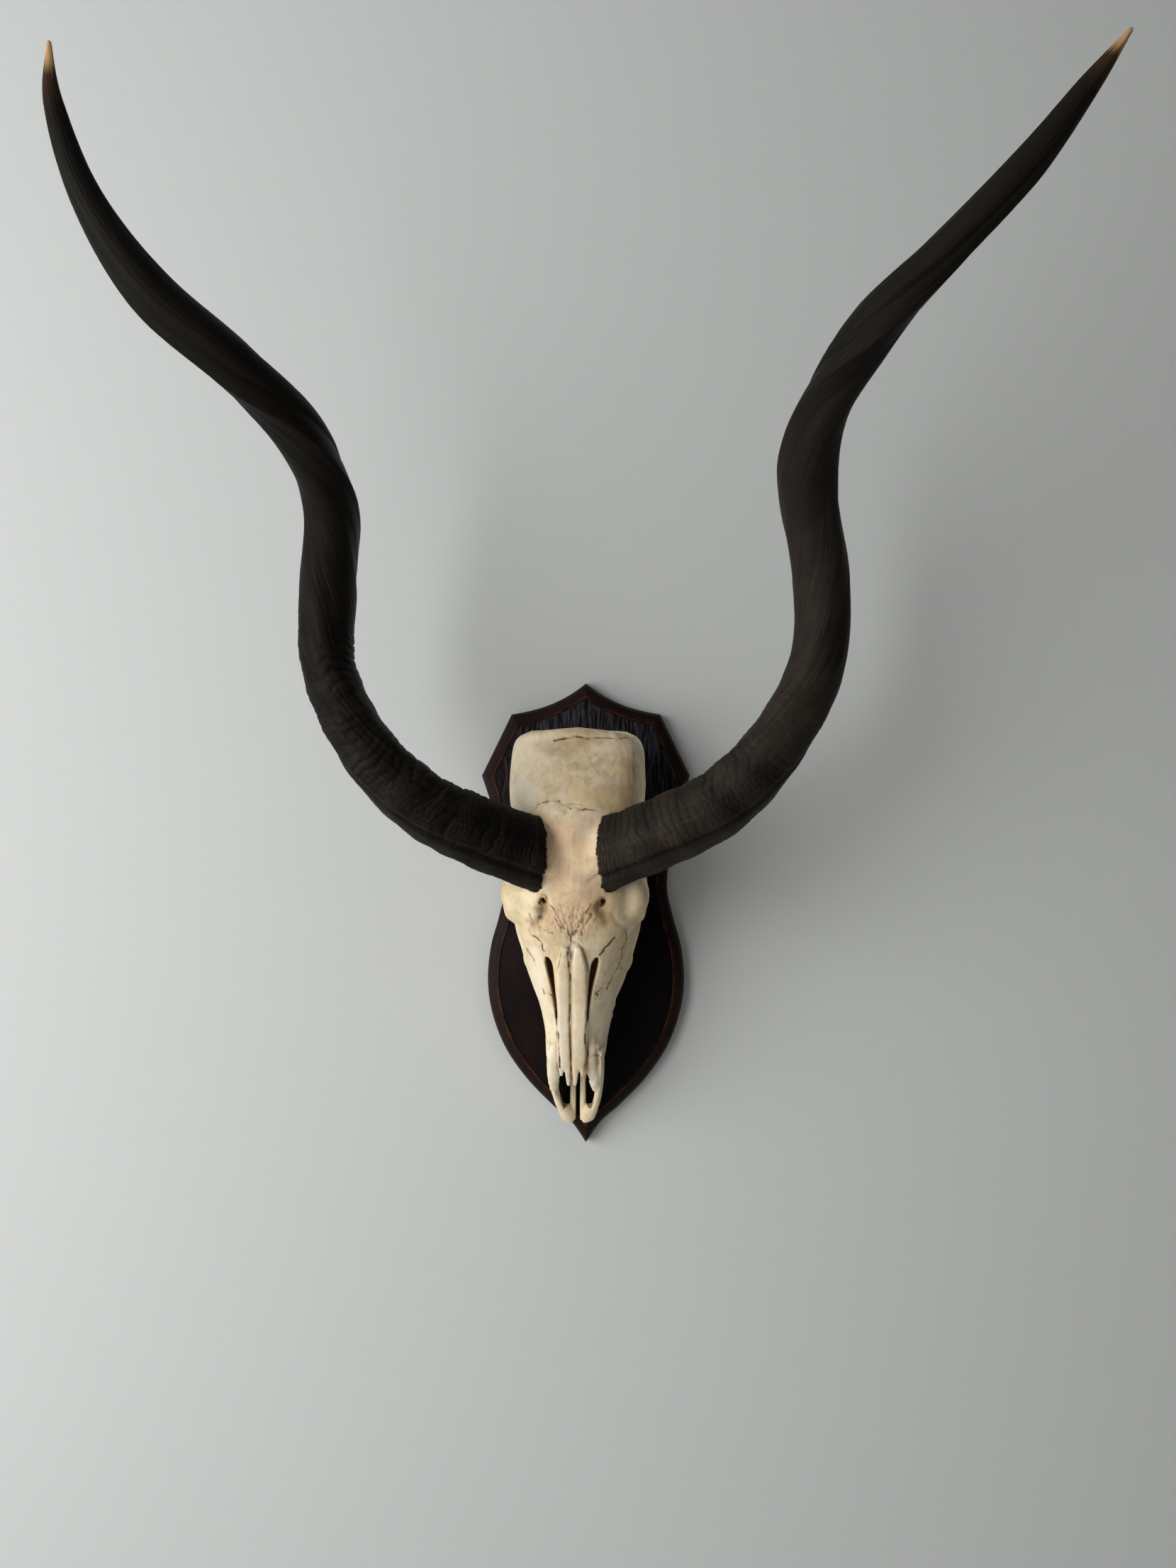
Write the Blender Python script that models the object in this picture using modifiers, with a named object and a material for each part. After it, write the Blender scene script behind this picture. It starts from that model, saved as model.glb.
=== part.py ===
# Mounted skull of a spiral-horned antelope on a shaped wooden shield.
# Metres, +Z up. The wall is the plane y = 0 and the skull looks towards -Y.
# The origin is the centre of the shield's flat back face.
import math

import bmesh
import bpy
from mathutils import Matrix, Vector

MM = 0.001

# Shield
SHIELD_THICKNESS = 22.0
SHIELD_EDGE = 11.5
GAP = 0.3
CLEARANCE = 0.8
APEX = (0.0, 255.5)
SHOULDER = (82.5, 221.0)
EAR = (115.6, 153.0)
# Half outline below the ear, as (half width, height above the centre)
FLANK = [(106.0, 124.0), (96.0, 82.0), (90.0, 32.0), (96.5, -3.0), (105.5, -36.0), (109.0, -73.0),
         (104.5, -109.0), (90.0, -148.0), (66.0, -183.0), (37.0, -213.0), (16.5, -231.0), (0.0, -254.5)]
# Moulding from the edge to the panel, as (further inset, height above the back)
MOULDING = [(1.0, 12.4), (1.6, 15.4), (2.4, 17.8), (3.2, 19.3), (3.4, 20.0), (0.5, 21.2), (0.9, 20.9)]
PANEL_STEP = (0.5, 22.0)

# Skull. Local x is sideways, z runs up the face from the nose tip, -y is height above the tooth crowns.
SKULL_TIP_HEIGHT = -227.0
SKULL_SIDE_SHIFT = -10.2
SKULL_ROLL = 0.49
NOSE_LEAN = 0.12
CROWN_LEAN = 0.05
# Body of the skull: (distance up the face, then five half outline points as side and height)
BODY = [
    (84, (0, 62), (12, 61), (28, 50), (29, 20), (14, 11)),
    (100, (0, 73), (14, 72), (29.5, 56), (31, 17), (15, 13)),
    (118, (0, 80), (17, 78), (33, 56), (33, 14), (17, 20)),
    (140, (0, 88), (22, 84), (39, 56), (36, 12), (18, 25)),
    (160, (0, 95), (27, 89), (47.5, 52), (42, 12), (19, 27)),
    (180, (0, 103), (33, 94), (54.5, 50), (45, 13), (20, 28)),
    (204, (0, 113), (38, 101), (57.5, 56), (47, 16), (22, 29)),
    (220, (0, 121), (42, 109), (62, 66), (46, 28), (20, 31)),
    (240, (0, 130), (45, 117), (69, 78), (44, 38), (16, 34)),
    (262, (0, 138), (44, 122), (70, 82), (42, 42), (14, 36)),
    (280, (0, 143), (36, 122), (56, 80), (42, 46), (14, 34)),
    (300, (0, 147), (32, 124), (50, 76), (44, 44), (15, 32)),
    (322, (0, 144), (36, 124), (57, 80), (50, 44), (17, 30)),
    (342, (0, 137), (48, 121), (67.5, 82), (56, 46), (19, 29)),
    (368, (0, 124), (52, 112), (70.5, 76), (59, 46), (20, 28)),
    (394, (0, 111), (52, 102), (69.5, 70), (58, 44), (20, 28)),
    (411, (0, 102), (49, 94), (67.5, 66), (54, 44), (18, 30)),
    (420, (0, 95), (45, 86), (62, 62), (48, 45), (17, 33)),
    (426, (0, 86), (36, 77), (50, 60), (38, 47), (14, 40)),
]
VOXEL = 2.0
DETAIL_KEPT = 0.034

# Horns: centreline stations as (side, height, distance from the wall, width, keel turn in degrees)
RIGHT_HORN = [
    (-47, 75, 148, 67, 0), (-99, 97, 175, 65, 4), (-157, 127, 193, 60, 14), (-211, 182, 202, 58, 36),
    (-243, 252, 203, 55, 72), (-242, 328, 212, 58, 112), (-234, 397, 244, 48, 172), (-248, 449, 294, 50, 258),
    (-292, 492, 343, 44, 328), (-346, 537, 378, 38, 352), (-386, 598, 404, 25, 362), (-405, 662, 422, 16, 372),
    (-404, 703, 432, 4, 380),
]
LEFT_HORN = [
    (20, 75, 148, 67, 0), (74, 99, 173, 66, 4), (133, 131, 193, 63, 12), (186, 189, 202, 60, 32),
    (220, 260, 203, 58, 62), (222, 338, 212, 58, 98), (204, 409, 244, 55, 142), (205, 464, 294, 47, 200),
    (236, 518, 343, 48, 290), (288, 570, 378, 34, 340), (342, 624, 404, 28, 358), (385, 678, 422, 17, 370),
    (412, 713, 432, 4, 380),
]
HORN_RINGS = 44
HORN_SIDES = 16
RIM_TILT = (0.95, 0.02, 0.31)
KEEL_RISE = 0.18
KEEL_HALF_ANGLE = 24.0
BACK_RIDGE_RISE = 0.06
BACK_RIDGE_HALF_ANGLE = 30.0

# Countersunk screws from the back of the shield into the palate and the base of the cranium
SCREW_LENGTH = 57.0
SCREW_RADIUS = 2.4
SCREW_HEAD_RADIUS = 4.8
SCREW_HEAD_DEPTH = 0.4
SCREWS = {"upper_screw": (-6.9, 158.0), "lower_screw": (-8.9, -77.0)}


def clear_scene():
    for item in list(bpy.data.objects):
        bpy.data.objects.remove(item, do_unlink=True)


def make_collection(name, hidden=False):
    group = bpy.data.collections.new(name)
    bpy.context.scene.collection.children.link(group)
    group.hide_render = hidden
    return group


def make_material(name, colour, roughness, metallic=0.0):
    material = bpy.data.materials.new(name)
    material.use_nodes = True
    shader = material.node_tree.nodes["Principled BSDF"]
    shader.inputs["Base Color"].default_value = (colour[0], colour[1], colour[2], 1.0)
    shader.inputs["Roughness"].default_value = roughness
    shader.inputs["Metallic"].default_value = metallic
    material.diffuse_color = (colour[0], colour[1], colour[2], 1.0)
    return material


def make_object(name, bm, group, material=None, smooth=False):
    bmesh.ops.recalc_face_normals(bm, faces=bm.faces[:])
    mesh = bpy.data.meshes.new(name)
    bm.to_mesh(mesh)
    bm.free()
    for face in mesh.polygons:
        face.use_smooth = smooth
    item = bpy.data.objects.new(name, mesh)
    group.objects.link(item)
    if material is not None:
        mesh.materials.append(material)
    return item


def spline(points, position):
    # Catmull-Rom curve through points of any size; position runs from 0 to len(points) - 1.
    last = len(points) - 1
    start = min(int(position), last - 1)
    t = position - start
    around = [points[max(0, min(last, start + step))] for step in (-1, 0, 1, 2)]
    values = []
    for a, b, c, d in zip(*around):
        value = 2 * b + (c - a) * t + (2 * a - 5 * b + 4 * c - d) * t ** 2 + (3 * b - a - 3 * c + d) * t ** 3
        values.append(value / 2)
    return values


def add_loft(bm, rings):
    # Skins closed rings of equal length and caps both ends.
    rows = [[bm.verts.new(Vector(point) * MM) for point in ring] for ring in rings]
    count = len(rows[0])
    for lower, upper in zip(rows, rows[1:]):
        for i in range(count):
            j = (i + 1) % count
            bm.faces.new((lower[i], lower[j], upper[j], upper[i]))
    bm.faces.new(list(reversed(rows[0])))
    bm.faces.new(rows[-1])


def ease(start, end, value):
    share = min(1.0, max(0.0, (value - start) / (end - start)))
    return share * share * (3 - 2 * share)


def skull_point(side, along, height):
    # The skull leans a little to its right, more so along the nose.
    lean = NOSE_LEAN + (CROWN_LEAN - NOSE_LEAN) * ease(100, 300, along)
    pivot = 18 + 27 * ease(40, 140, along)
    return Vector((side - lean * (height - pivot), -height, along))


def add_bar(bm, path, sides=12, steps=4):
    # Oval bar along path points of (side, along, height, width, thickness).
    rings = []
    total = (len(path) - 1) * steps
    for i in range(total + 1):
        here = spline(path, i / steps)
        ahead = spline(path, min(i / steps + 0.05, len(path) - 1))
        behind = spline(path, max(i / steps - 0.05, 0))
        run = skull_point(*ahead[:3]) - skull_point(*behind[:3])
        run.normalize()
        across = Vector((1, 0, 0)) - run * run.x
        across.normalize()
        over = run.cross(across)
        centre = skull_point(*here[:3])
        ring = []
        for k in range(sides):
            angle = 2 * math.pi * k / sides
            offset = across * math.cos(angle) * here[3] / 2 + over * math.sin(angle) * here[4] / 2
            ring.append(centre + offset)
        rings.append(ring)
    add_loft(bm, rings)


def add_ball(bm, centre, radii, turn=(0, 0, 0)):
    placed = Matrix.Translation(skull_point(*centre) * MM)
    spin = Matrix.Rotation(math.radians(turn[2]), 4, "Z") @ Matrix.Rotation(math.radians(turn[1]), 4, "Y")
    spin = spin @ Matrix.Rotation(math.radians(turn[0]), 4, "X")
    scale = Matrix.Diagonal((radii[0] * MM, radii[2] * MM, radii[1] * MM, 1.0))
    bmesh.ops.create_uvsphere(bm, u_segments=28, v_segments=18, radius=1.0, matrix=placed @ spin @ scale)


def mirrored(path):
    return [(-point[0],) + tuple(point[1:]) for point in path]


def body_ring(station):
    # Closed outline of one skull section, smoothed through its half outline points.
    along = station[0]
    half = [tuple(point) for point in station[1:]]
    bottom = (0, half[-1][1] + 1)
    right = half + [bottom]
    left = [(-x, h) for x, h in reversed(half[1:])]
    loop = right + left
    padded = [loop[-1]] + loop + loop[:2]
    ring = []
    steps = 4
    for i in range(len(loop) * steps):
        x, h = spline(padded, 1 + i / steps)
        ring.append(skull_point(x, along, h))
    return ring


def add_body(bm):
    flat = [(row[0],) + tuple(value for point in row[1:] for value in point) for row in BODY]
    rings = []
    steps = 3
    for i in range((len(flat) - 1) * steps + 1):
        values = spline(flat, i / steps)
        pairs = [(values[n], values[n + 1]) for n in range(1, len(values), 2)]
        rings.append(body_ring([values[0]] + pairs))
    add_loft(bm, rings)


def add_teeth(bm, side):
    # Three premolars and three molars, each with two crescent cusps.
    lengths = (12, 14, 14, 18, 21, 23)
    along = 112.0
    for number, length in enumerate(lengths):
        share = number / 5
        middle = along + length / 2
        x = side * (28 + 12 * share)
        width = 13 + 5 * share
        cusps = 1 if number < 3 else 2
        for cusp in range(cusps):
            part = length / cusps
            centre = middle - length / 2 + part * (cusp + 0.5)
            root = (x, centre, 26, width, part * 1.02)
            neck = (x, centre, 12, width + 1, part * 1.04)
            crown = (x + side, centre, 3, width - 2, part * 0.96)
            edge = (x + side * 1.5, centre, 0.6, width - 6, part * 0.7)
            rings = []
            for cx, cs, ch, wide, long in (root, neck, crown, edge):
                ring = []
                for k in range(10):
                    angle = 2 * math.pi * k / 10
                    out = math.cos(angle) * wide / 2
                    up = math.sin(angle) * long / 2
                    ring.append(skull_point(cx + out, cs + up, ch))
                rings.append(ring)
            add_loft(bm, rings)
        along += length


def add_face_bones(bm):
    for side in (1, -1):
        nasal = [(7.0, 72, 66, 13, 5), (7.1, 84, 70, 14, 8), (7.2, 120, 82, 14.4, 9), (7.2, 160, 95, 14.4, 9),
                 (7.0, 188, 106, 13.5, 9), (6.2, 201, 112, 10, 8), (5.8, 206, 114, 7, 6)]
        outer_prong = [(10.7, 84, 70, 6.6, 7), (10.8, 74, 67, 5.4, 5), (10.9, 65, 64, 3.4, 3)]
        inner_prong = [(3.9, 84, 70, 7.4, 7), (3.8, 70, 66, 6.4, 5), (3.6, 60, 63, 5, 4), (3.4, 54, 61, 3, 3)]
        wall = [(7.6, -0.5, 5.6, 4, 3), (8.2, 2, 6, 9, 6), (11.0, 8, 7, 16, 9), (18.5, 24, 12, 12, 14),
                (23.5, 42, 20, 9.5, 24), (25.5, 60, 27, 9, 36), (26, 80, 35, 9, 48), (26, 100, 43, 9, 58)]
        nose_edge = [(23, 42, 30, 9, 6), (20.5, 58, 46, 11, 6), (19, 72, 58, 12, 6), (18.5, 88, 68, 13, 6),
                     (18, 106, 74, 12, 6)]
        middle_bar = [(6, 3, 6, 8, 5), (5.4, 20, 7, 7, 5), (5.4, 50, 9, 7, 5), (8, 84, 14, 12, 7),
                      (10, 100, 17, 14, 8)]
        wall_top = [(23.5, 50, 34, 8, 12), (24, 64, 42, 9, 14), (24.3, 78, 49, 9, 15), (24.5, 94, 53, 9, 15),
                    (24, 110, 58, 8, 12)]
        for path in (nasal, outer_prong, inner_prong, wall, wall_top, nose_edge, middle_bar):
            add_bar(bm, path if side > 0 else mirrored(path))


def add_orbits(bm):
    for side in (1, -1):
        rim = []
        for k in range(17):
            angle = 2 * math.pi * k / 16
            out = side * (65 + 4 * math.sin(angle))
            rim.append((out, 258 - 25 * math.cos(angle), 73 + 22 * math.sin(angle), 10, 10))
        add_bar(bm, rim, sides=10, steps=2)
        add_ball(bm, (side * 57, 258, 92), (19, 25, 22))
        arch = [(side * 50, 186, 42, 12, 14), (side * 62, 220, 46, 9, 16), (side * 68, 262, 50, 7, 15),
                (side * 69, 298, 55, 7, 14), (side * 65, 330, 60, 10, 16), (side * 56, 350, 66, 12, 18)]
        add_bar(bm, arch, sides=12)
        bar_behind = [(side * 67, 282, 88, 10, 9), (side * 69, 284, 70, 8, 8), (side * 68, 280, 52, 8, 8)]
        add_bar(bm, bar_behind, sides=10)
        add_ball(bm, (side * 50, 186, 40), (8, 12, 8))


def add_base(bm):
    for side in (1, -1):
        process = [(side * 42, 394, 48, 24, 18), (side * 40, 397, 28, 15, 12), (side * 38, 400, 12, 10, 8),
                   (side * 37, 401, 0.8, 6, 5)]
        add_bar(bm, process, sides=10)
        add_ball(bm, (side * 27, 372, 20), (9, 15, 13))
        add_ball(bm, (side * 14.5, 412, 31), (11, 13, 14), (20, side * -12, 0))
        wing = [(side * 22, 214, 28, 5, 16), (side * 20, 240, 28, 4.5, 24), (side * 18, 266, 28, 4.5, 24),
                (side * 16, 292, 32, 6, 14)]
        add_bar(bm, wing, sides=10)
    trunk = [(0, 290, 34, 22, 14), (0, 330, 29, 26, 14), (0, 385, 27, 32, 15), (0, 414, 31, 28, 14)]
    add_bar(bm, trunk)
    crest = [(-57, 413, 76, 12, 16), (-38, 419, 88, 12, 14), (0, 422, 93, 14, 14), (38, 419, 88, 12, 14),
             (57, 413, 76, 12, 16)]
    rings = []
    for row in crest:
        ring = []
        for k in range(12):
            angle = 2 * math.pi * k / 12
            up = math.cos(angle) * row[3] / 2
            out = math.sin(angle) * row[4] / 2
            ring.append(skull_point(row[0], row[1] + up, row[2] + out))
        rings.append(ring)
    add_loft(bm, rings)
    add_ball(bm, (0, 424, 66), (12, 6, 14))


def horn_frame(stations, position, outward):
    # Centre, forward direction and the two directions across the horn at a station position.
    centre = spline(stations, position)
    ahead = spline(stations, min(position + 0.04, len(stations) - 1))
    behind = spline(stations, max(position - 0.04, 0))
    run = Vector((ahead[0] - behind[0], behind[2] - ahead[2], ahead[1] - behind[1])).normalized()
    front = (Vector((0, -1, 0)) - run * Vector((0, -1, 0)).dot(run)).normalized()
    outer = run.cross(front) * outward
    return Vector((centre[0], -centre[2], centre[1])), run, front, outer


def horn_ring(stations, position, outward, sides, scale=1.0):
    centre, run, front, outer = horn_frame(stations, position, outward)
    width, keel_turn = spline(stations, position)[3:5]
    ring = []
    for k in range(sides):
        turn = 360.0 * k / sides
        keel = math.exp(-((turn if turn < 180 else turn - 360) / KEEL_HALF_ANGLE) ** 2)
        back = math.exp(-((turn - 180) / BACK_RIDGE_HALF_ANGLE) ** 2)
        radius = width / 2 * (0.93 + KEEL_RISE * keel + BACK_RIDGE_RISE * back) * scale
        angle = math.radians(turn + keel_turn)
        ring.append(centre + (outer * math.cos(angle) - front * math.sin(angle)) * radius)
    return ring, run


def rim_normal(outward):
    return Vector((outward * RIM_TILT[0], -RIM_TILT[2], RIM_TILT[1])).normalized()


def rim_ring(stations, outward, sides, shift=0.0, scale=1.0):
    # The horn's mouth: its first section slid along the horn onto the slanted rim plane.
    ring, run = horn_ring(stations, 0, outward, sides, scale)
    centre = horn_frame(stations, 0, outward)[0]
    normal = rim_normal(outward)
    level = centre.dot(normal) + shift
    return [point + run * ((level - point.dot(normal)) / run.dot(normal)) for point in ring]


def horn_section(stations, position, outward, sides):
    # Horn outline at a station position, eased onto the rim plane near the base.
    ring, run = horn_ring(stations, position, outward, sides)
    if position < 1:
        rim = rim_ring(stations, outward, sides)
        straight = horn_ring(stations, 0, outward, sides)[0]
        ease = (1 - position) ** 1.5
        ring = [point + (slanted - flat) * ease for point, slanted, flat in zip(ring, rim, straight)]
    return ring


def make_horn(name, stations, outward, group, material):
    bm = bmesh.new()
    last = len(stations) - 1
    rings = [horn_section(stations, last * i / HORN_RINGS, outward, HORN_SIDES) for i in range(HORN_RINGS + 1)]
    add_loft(bm, rings)
    return make_object(name, bm, group, material, smooth=True)


def add_pedicle(bm, stations, outward, inverse):
    # Bone stub that carries the horn, from inside the skull to just past the rim plane.
    ring = rim_ring(stations, outward, 24, shift=4.0, scale=0.9)
    run = horn_frame(stations, 0, outward)[1]
    rings = []
    for reach, size in ((-62, 0.62), (-44, 0.86), (-22, 1.0), (0, 1.0)):
        centre = sum(ring, Vector()) / len(ring)
        row = [inverse @ ((centre + (point - centre) * size + run * reach) * MM) / MM for point in ring]
        rings.append(row)
    add_loft(bm, rings)


def make_cutters(group):
    bm = bmesh.new()
    for side in (1, -1):
        add_ball(bm, (side * 82, 258, 72), (27, 20, 18))
        add_ball(bm, (side * 64, 260, 70), (18, 17, 15))
        add_ball(bm, (side * 76, 306, 76), (22, 22, 13))
        slit = [(15.8, 126, 88, 1.5, 24), (16.8, 140, 92, 3.2, 26), (18.9, 158, 97, 4.4, 28),
                (21.8, 178, 102, 8, 30), (23.4, 187, 105, 10, 30), (24.4, 193, 107, 4, 22)]
        add_bar(bm, slit if side > 0 else mirrored(slit))
        incisive = [(13, 20, 8, 5, 22), (15.5, 32, 12, 8, 26), (16, 48, 14, 10, 28), (15, 66, 16, 6, 28)]
        add_bar(bm, incisive if side > 0 else mirrored(incisive))
        add_ball(bm, (side * 29.5, 254, 129), (2.3, 3.0, 9), (25, 0, 0))
        groove = [(31, 246, 127, 4, 6), (33, 236, 123, 4, 5), (35, 224, 118, 3, 4)]
        add_bar(bm, groove if side > 0 else mirrored(groove))
        add_ball(bm, (side * 6, 262, 16), (11, 30, 18))
    cavity = [(0, 56, 40, 34, 34), (0, 76, 42, 37, 36), (0, 96, 45, 40, 38), (0, 120, 51, 46, 42),
              (0, 150, 60, 54, 44), (0, 186, 68, 56, 40), (0, 206, 72, 30, 26)]
    add_bar(bm, cavity, sides=16)
    add_ball(bm, (0, 150, 4), (17, 66, 18))
    add_ball(bm, (0, 426, 45), (11, 24, 10))
    gap = [(0, -4, 8, 3.4, 40), (0, 44, 8, 3.4, 40), (0, 72, 10, 1.8, 40)]
    add_bar(bm, gap)
    cutters = make_object("skull_hollows", bm, group)
    remesh = cutters.modifiers.new("fuse hollows", "REMESH")
    remesh.mode = "VOXEL"
    remesh.voxel_size = VOXEL * MM
    return cutters


def make_horn_clearance(name, stations, outward, group):
    # The lower horn, slightly enlarged, that clears the bone and leaves a flat stub under the rim.
    bm = bmesh.new()
    rings = []
    for i in range(16):
        position = 3.0 * i / 15
        ring = horn_section(stations, position, outward, HORN_SIDES * 2)
        middle = sum(ring, Vector()) / len(ring)
        slack = rim_normal(outward) * -GAP if i == 0 else Vector()
        rings.append([point + (point - middle).normalized() * CLEARANCE + slack for point in ring])
    add_loft(bm, rings)
    return make_object(name, bm, group)


def add_cut(item, cutter):
    cutter.display_type = "WIRE"
    cut = item.modifiers.new(cutter.name, "BOOLEAN")
    cut.operation = "DIFFERENCE"
    cut.solver = "EXACT"
    cut.object = cutter


def make_skull(group, hidden, material):
    place = Matrix.Translation(Vector((SKULL_SIDE_SHIFT, -SHIELD_THICKNESS - GAP, SKULL_TIP_HEIGHT)) * MM)
    place = place @ Matrix.Rotation(math.radians(SKULL_ROLL), 4, "Y")
    inverse = place.inverted()
    bm = bmesh.new()
    add_body(bm)
    add_face_bones(bm)
    add_orbits(bm)
    add_base(bm)
    for side in (1, -1):
        add_teeth(bm, side)
    add_pedicle(bm, RIGHT_HORN, -1, inverse)
    add_pedicle(bm, LEFT_HORN, 1, inverse)
    skull = make_object("skull", bm, group, material)
    skull.matrix_world = place
    fuse = skull.modifiers.new("fuse bones", "REMESH")
    fuse.mode = "VOXEL"
    fuse.voxel_size = VOXEL * MM
    hollows = make_cutters(hidden)
    hollows.matrix_world = place
    add_cut(skull, hollows)
    again = skull.modifiers.new("blend hollows", "REMESH")
    again.mode = "VOXEL"
    again.voxel_size = VOXEL * MM
    soften = skull.modifiers.new("soften", "SMOOTH")
    soften.factor = 0.5
    soften.iterations = 3
    reduce = skull.modifiers.new("reduce", "DECIMATE")
    reduce.ratio = DETAIL_KEPT
    horns = (("right_horn_clearance", RIGHT_HORN, -1), ("left_horn_clearance", LEFT_HORN, 1))
    for name, stations, outward in horns:
        add_cut(skull, make_horn_clearance(name, stations, outward, hidden))
    return skull


def shield_outline():
    # Right half from the top point down, then the left half back up.
    half = []
    steps = 6
    for i in range(steps):
        t = i / steps
        x = SHOULDER[0] * t
        straight = APEX[1] + (SHOULDER[1] - APEX[1]) * t
        half.append((x, straight - 28.0 * t * (1 - t) - 6.0 * t * (1 - t) * (1 - 2 * t)))
    half.append(SHOULDER)
    half.append(EAR)
    steps = 2
    for i in range((len(FLANK) - 1) * steps + 1):
        half.append(tuple(spline(FLANK, i / steps)))
    left = [(-x, z) for x, z in reversed(half[1:-1])]
    return half + left


def inset_outline(points, distance):
    # Mitred inset of a closed outline that runs clockwise.
    count = len(points)
    moved = []
    for i in range(count):
        here = Vector(points[i])
        before = (here - Vector(points[i - 1])).normalized()
        after = (Vector(points[(i + 1) % count]) - here).normalized()
        inward = Vector((before.y + after.y, -before.x - after.x)).normalized()
        inward *= -distance / max(0.35, inward.dot(Vector((before.y, -before.x))))
        moved.append(here - inward)
    return moved


def make_shield(group, material):
    outline = shield_outline()
    rings = [[(x, 0.0, z) for x, z in outline]]
    reach = 0.0
    for inset, height in [(0.0, SHIELD_EDGE)] + MOULDING + [PANEL_STEP]:
        reach += inset
        rings.append([(point[0], -height, point[1]) for point in inset_outline(outline, reach)])
    bm = bmesh.new()
    add_loft(bm, rings)
    return make_object("shield", bm, group, material)


def add_screw_body(bm, place, slack=0.0):
    # Countersunk head, shank and point, or with slack the hole that clears them.
    end = SCREW_LENGTH + slack
    profile = [(SCREW_HEAD_DEPTH, SCREW_HEAD_RADIUS + slack), (SCREW_HEAD_DEPTH + 3.0, SCREW_RADIUS + slack),
               (end - 6.0, SCREW_RADIUS + slack), (end, 0.6 + slack)]
    if slack > 0:
        profile.insert(0, (-1.0, SCREW_HEAD_RADIUS + slack))
    rings = []
    for depth, radius in profile:
        ring = []
        for k in range(14):
            angle = 2 * math.pi * k / 14
            ring.append((place[0] + radius * math.cos(angle), -depth, place[1] + radius * math.sin(angle)))
        rings.append(ring)
    add_loft(bm, rings)


def make_screw(name, place, group, hidden, material):
    bm = bmesh.new()
    add_screw_body(bm, place)
    screw = make_object(name, bm, group, material)
    bm = bmesh.new()
    slot = Matrix.Translation(Vector((place[0], -SCREW_HEAD_DEPTH, place[1])) * MM)
    slot = slot @ Matrix.Rotation(math.radians(35), 4, "Y")
    bmesh.ops.create_cube(bm, size=1.0, matrix=slot @ Matrix.Diagonal((12 * MM, 2.4 * MM, 1.2 * MM, 1.0)))
    cutter = make_object(name + "_slot", bm, hidden)
    add_cut(screw, cutter)
    return screw


def drill(item, name, place, hidden):
    bm = bmesh.new()
    add_screw_body(bm, place, GAP)
    cutter = make_object(name, bm, hidden)
    add_cut(item, cutter)


def main():
    clear_scene()
    group = make_collection("kudu_skull_mount")
    hidden = make_collection("cutters", hidden=True)
    oak = make_material("dark stained oak", (0.055, 0.024, 0.018), 0.42)
    bone = make_material("dry bone", (0.80, 0.72, 0.58), 0.62)
    horn = make_material("black-brown horn", (0.060, 0.050, 0.042), 0.5)
    steel = make_material("zinc plated steel", (0.55, 0.55, 0.53), 0.38, 1.0)
    shield = make_shield(group, oak)
    skull = make_skull(group, hidden, bone)
    for name, place in SCREWS.items():
        make_screw(name, place, group, hidden, steel)
        drill(shield, name + "_shield_hole", place, hidden)
        drill(skull, name + "_skull_hole", place, hidden)
    make_horn("right_horn", RIGHT_HORN, -1, group, horn)
    make_horn("left_horn", LEFT_HORN, 1, group, horn)


main()
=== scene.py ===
import itertools
import math

import bpy
import numpy as np
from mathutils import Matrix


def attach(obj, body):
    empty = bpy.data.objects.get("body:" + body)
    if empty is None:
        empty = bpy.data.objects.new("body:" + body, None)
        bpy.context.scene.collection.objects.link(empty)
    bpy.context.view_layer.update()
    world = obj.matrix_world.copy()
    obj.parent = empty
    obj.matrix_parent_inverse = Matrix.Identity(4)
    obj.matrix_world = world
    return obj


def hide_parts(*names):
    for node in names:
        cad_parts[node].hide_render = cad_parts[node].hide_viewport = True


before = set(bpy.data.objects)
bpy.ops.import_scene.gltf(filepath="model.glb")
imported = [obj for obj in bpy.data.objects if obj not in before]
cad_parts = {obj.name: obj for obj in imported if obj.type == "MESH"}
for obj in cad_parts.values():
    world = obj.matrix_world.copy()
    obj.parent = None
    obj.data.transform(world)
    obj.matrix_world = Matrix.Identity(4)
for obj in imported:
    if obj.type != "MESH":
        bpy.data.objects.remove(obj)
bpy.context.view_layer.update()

import openvdb
from mathutils import Matrix, Vector

MM = 0.001

# Shield, in millimetres: half its outline, then its moulding as distance from the rim and height
SHIELD_THICKNESS = 22.0
APEX = (0.0, 255.5)
SHOULDER = (82.5, 221.0)
EAR = (115.6, 153.0)
FLANK = [(106.0, 124.0), (96.0, 82.0), (90.0, 32.0), (96.5, -3.0), (105.5, -36.0), (109.0, -73.0),
         (104.5, -109.0), (90.0, -148.0), (66.0, -183.0), (37.0, -213.0), (16.5, -231.0), (0.0, -254.5)]
CREST_SAG = 28.0
CREST_SWAY = 6.0
BACK_EDGE = 0.6
MOULDING = [(0.0, 0.0), (0.0, 2.0), (0.0, 10.6), (0.25, 11.2), (0.9, 11.5), (1.2, 12.0), (1.3, 13.4),
            (1.7, 15.0), (2.6, 16.7), (3.9, 18.0), (5.5, 18.9), (7.3, 19.5), (9.0, 19.9), (10.4, 20.2),
            (11.0, 20.4), (11.2, 20.9), (11.7, 21.3), (12.4, 21.45), (13.0, 21.3), (13.3, 20.7),
            (13.7, 20.6), (14.1, 21.2), (14.4, 21.85), (15.0, 22.0)]
DENTED_BELOW = 21.0
SHARP_EDGE_DEGREES = 32

# Skull, in millimetres: sideways, then up the face from the nose tip, then height off the tooth crowns
GAP = 0.3
SKULL_TIP_HEIGHT = -227.0
SKULL_SIDE_SHIFT = -10.2
SKULL_ROLL = 0.49
NOSE_LEAN = 0.12
CROWN_LEAN = 0.05
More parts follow.
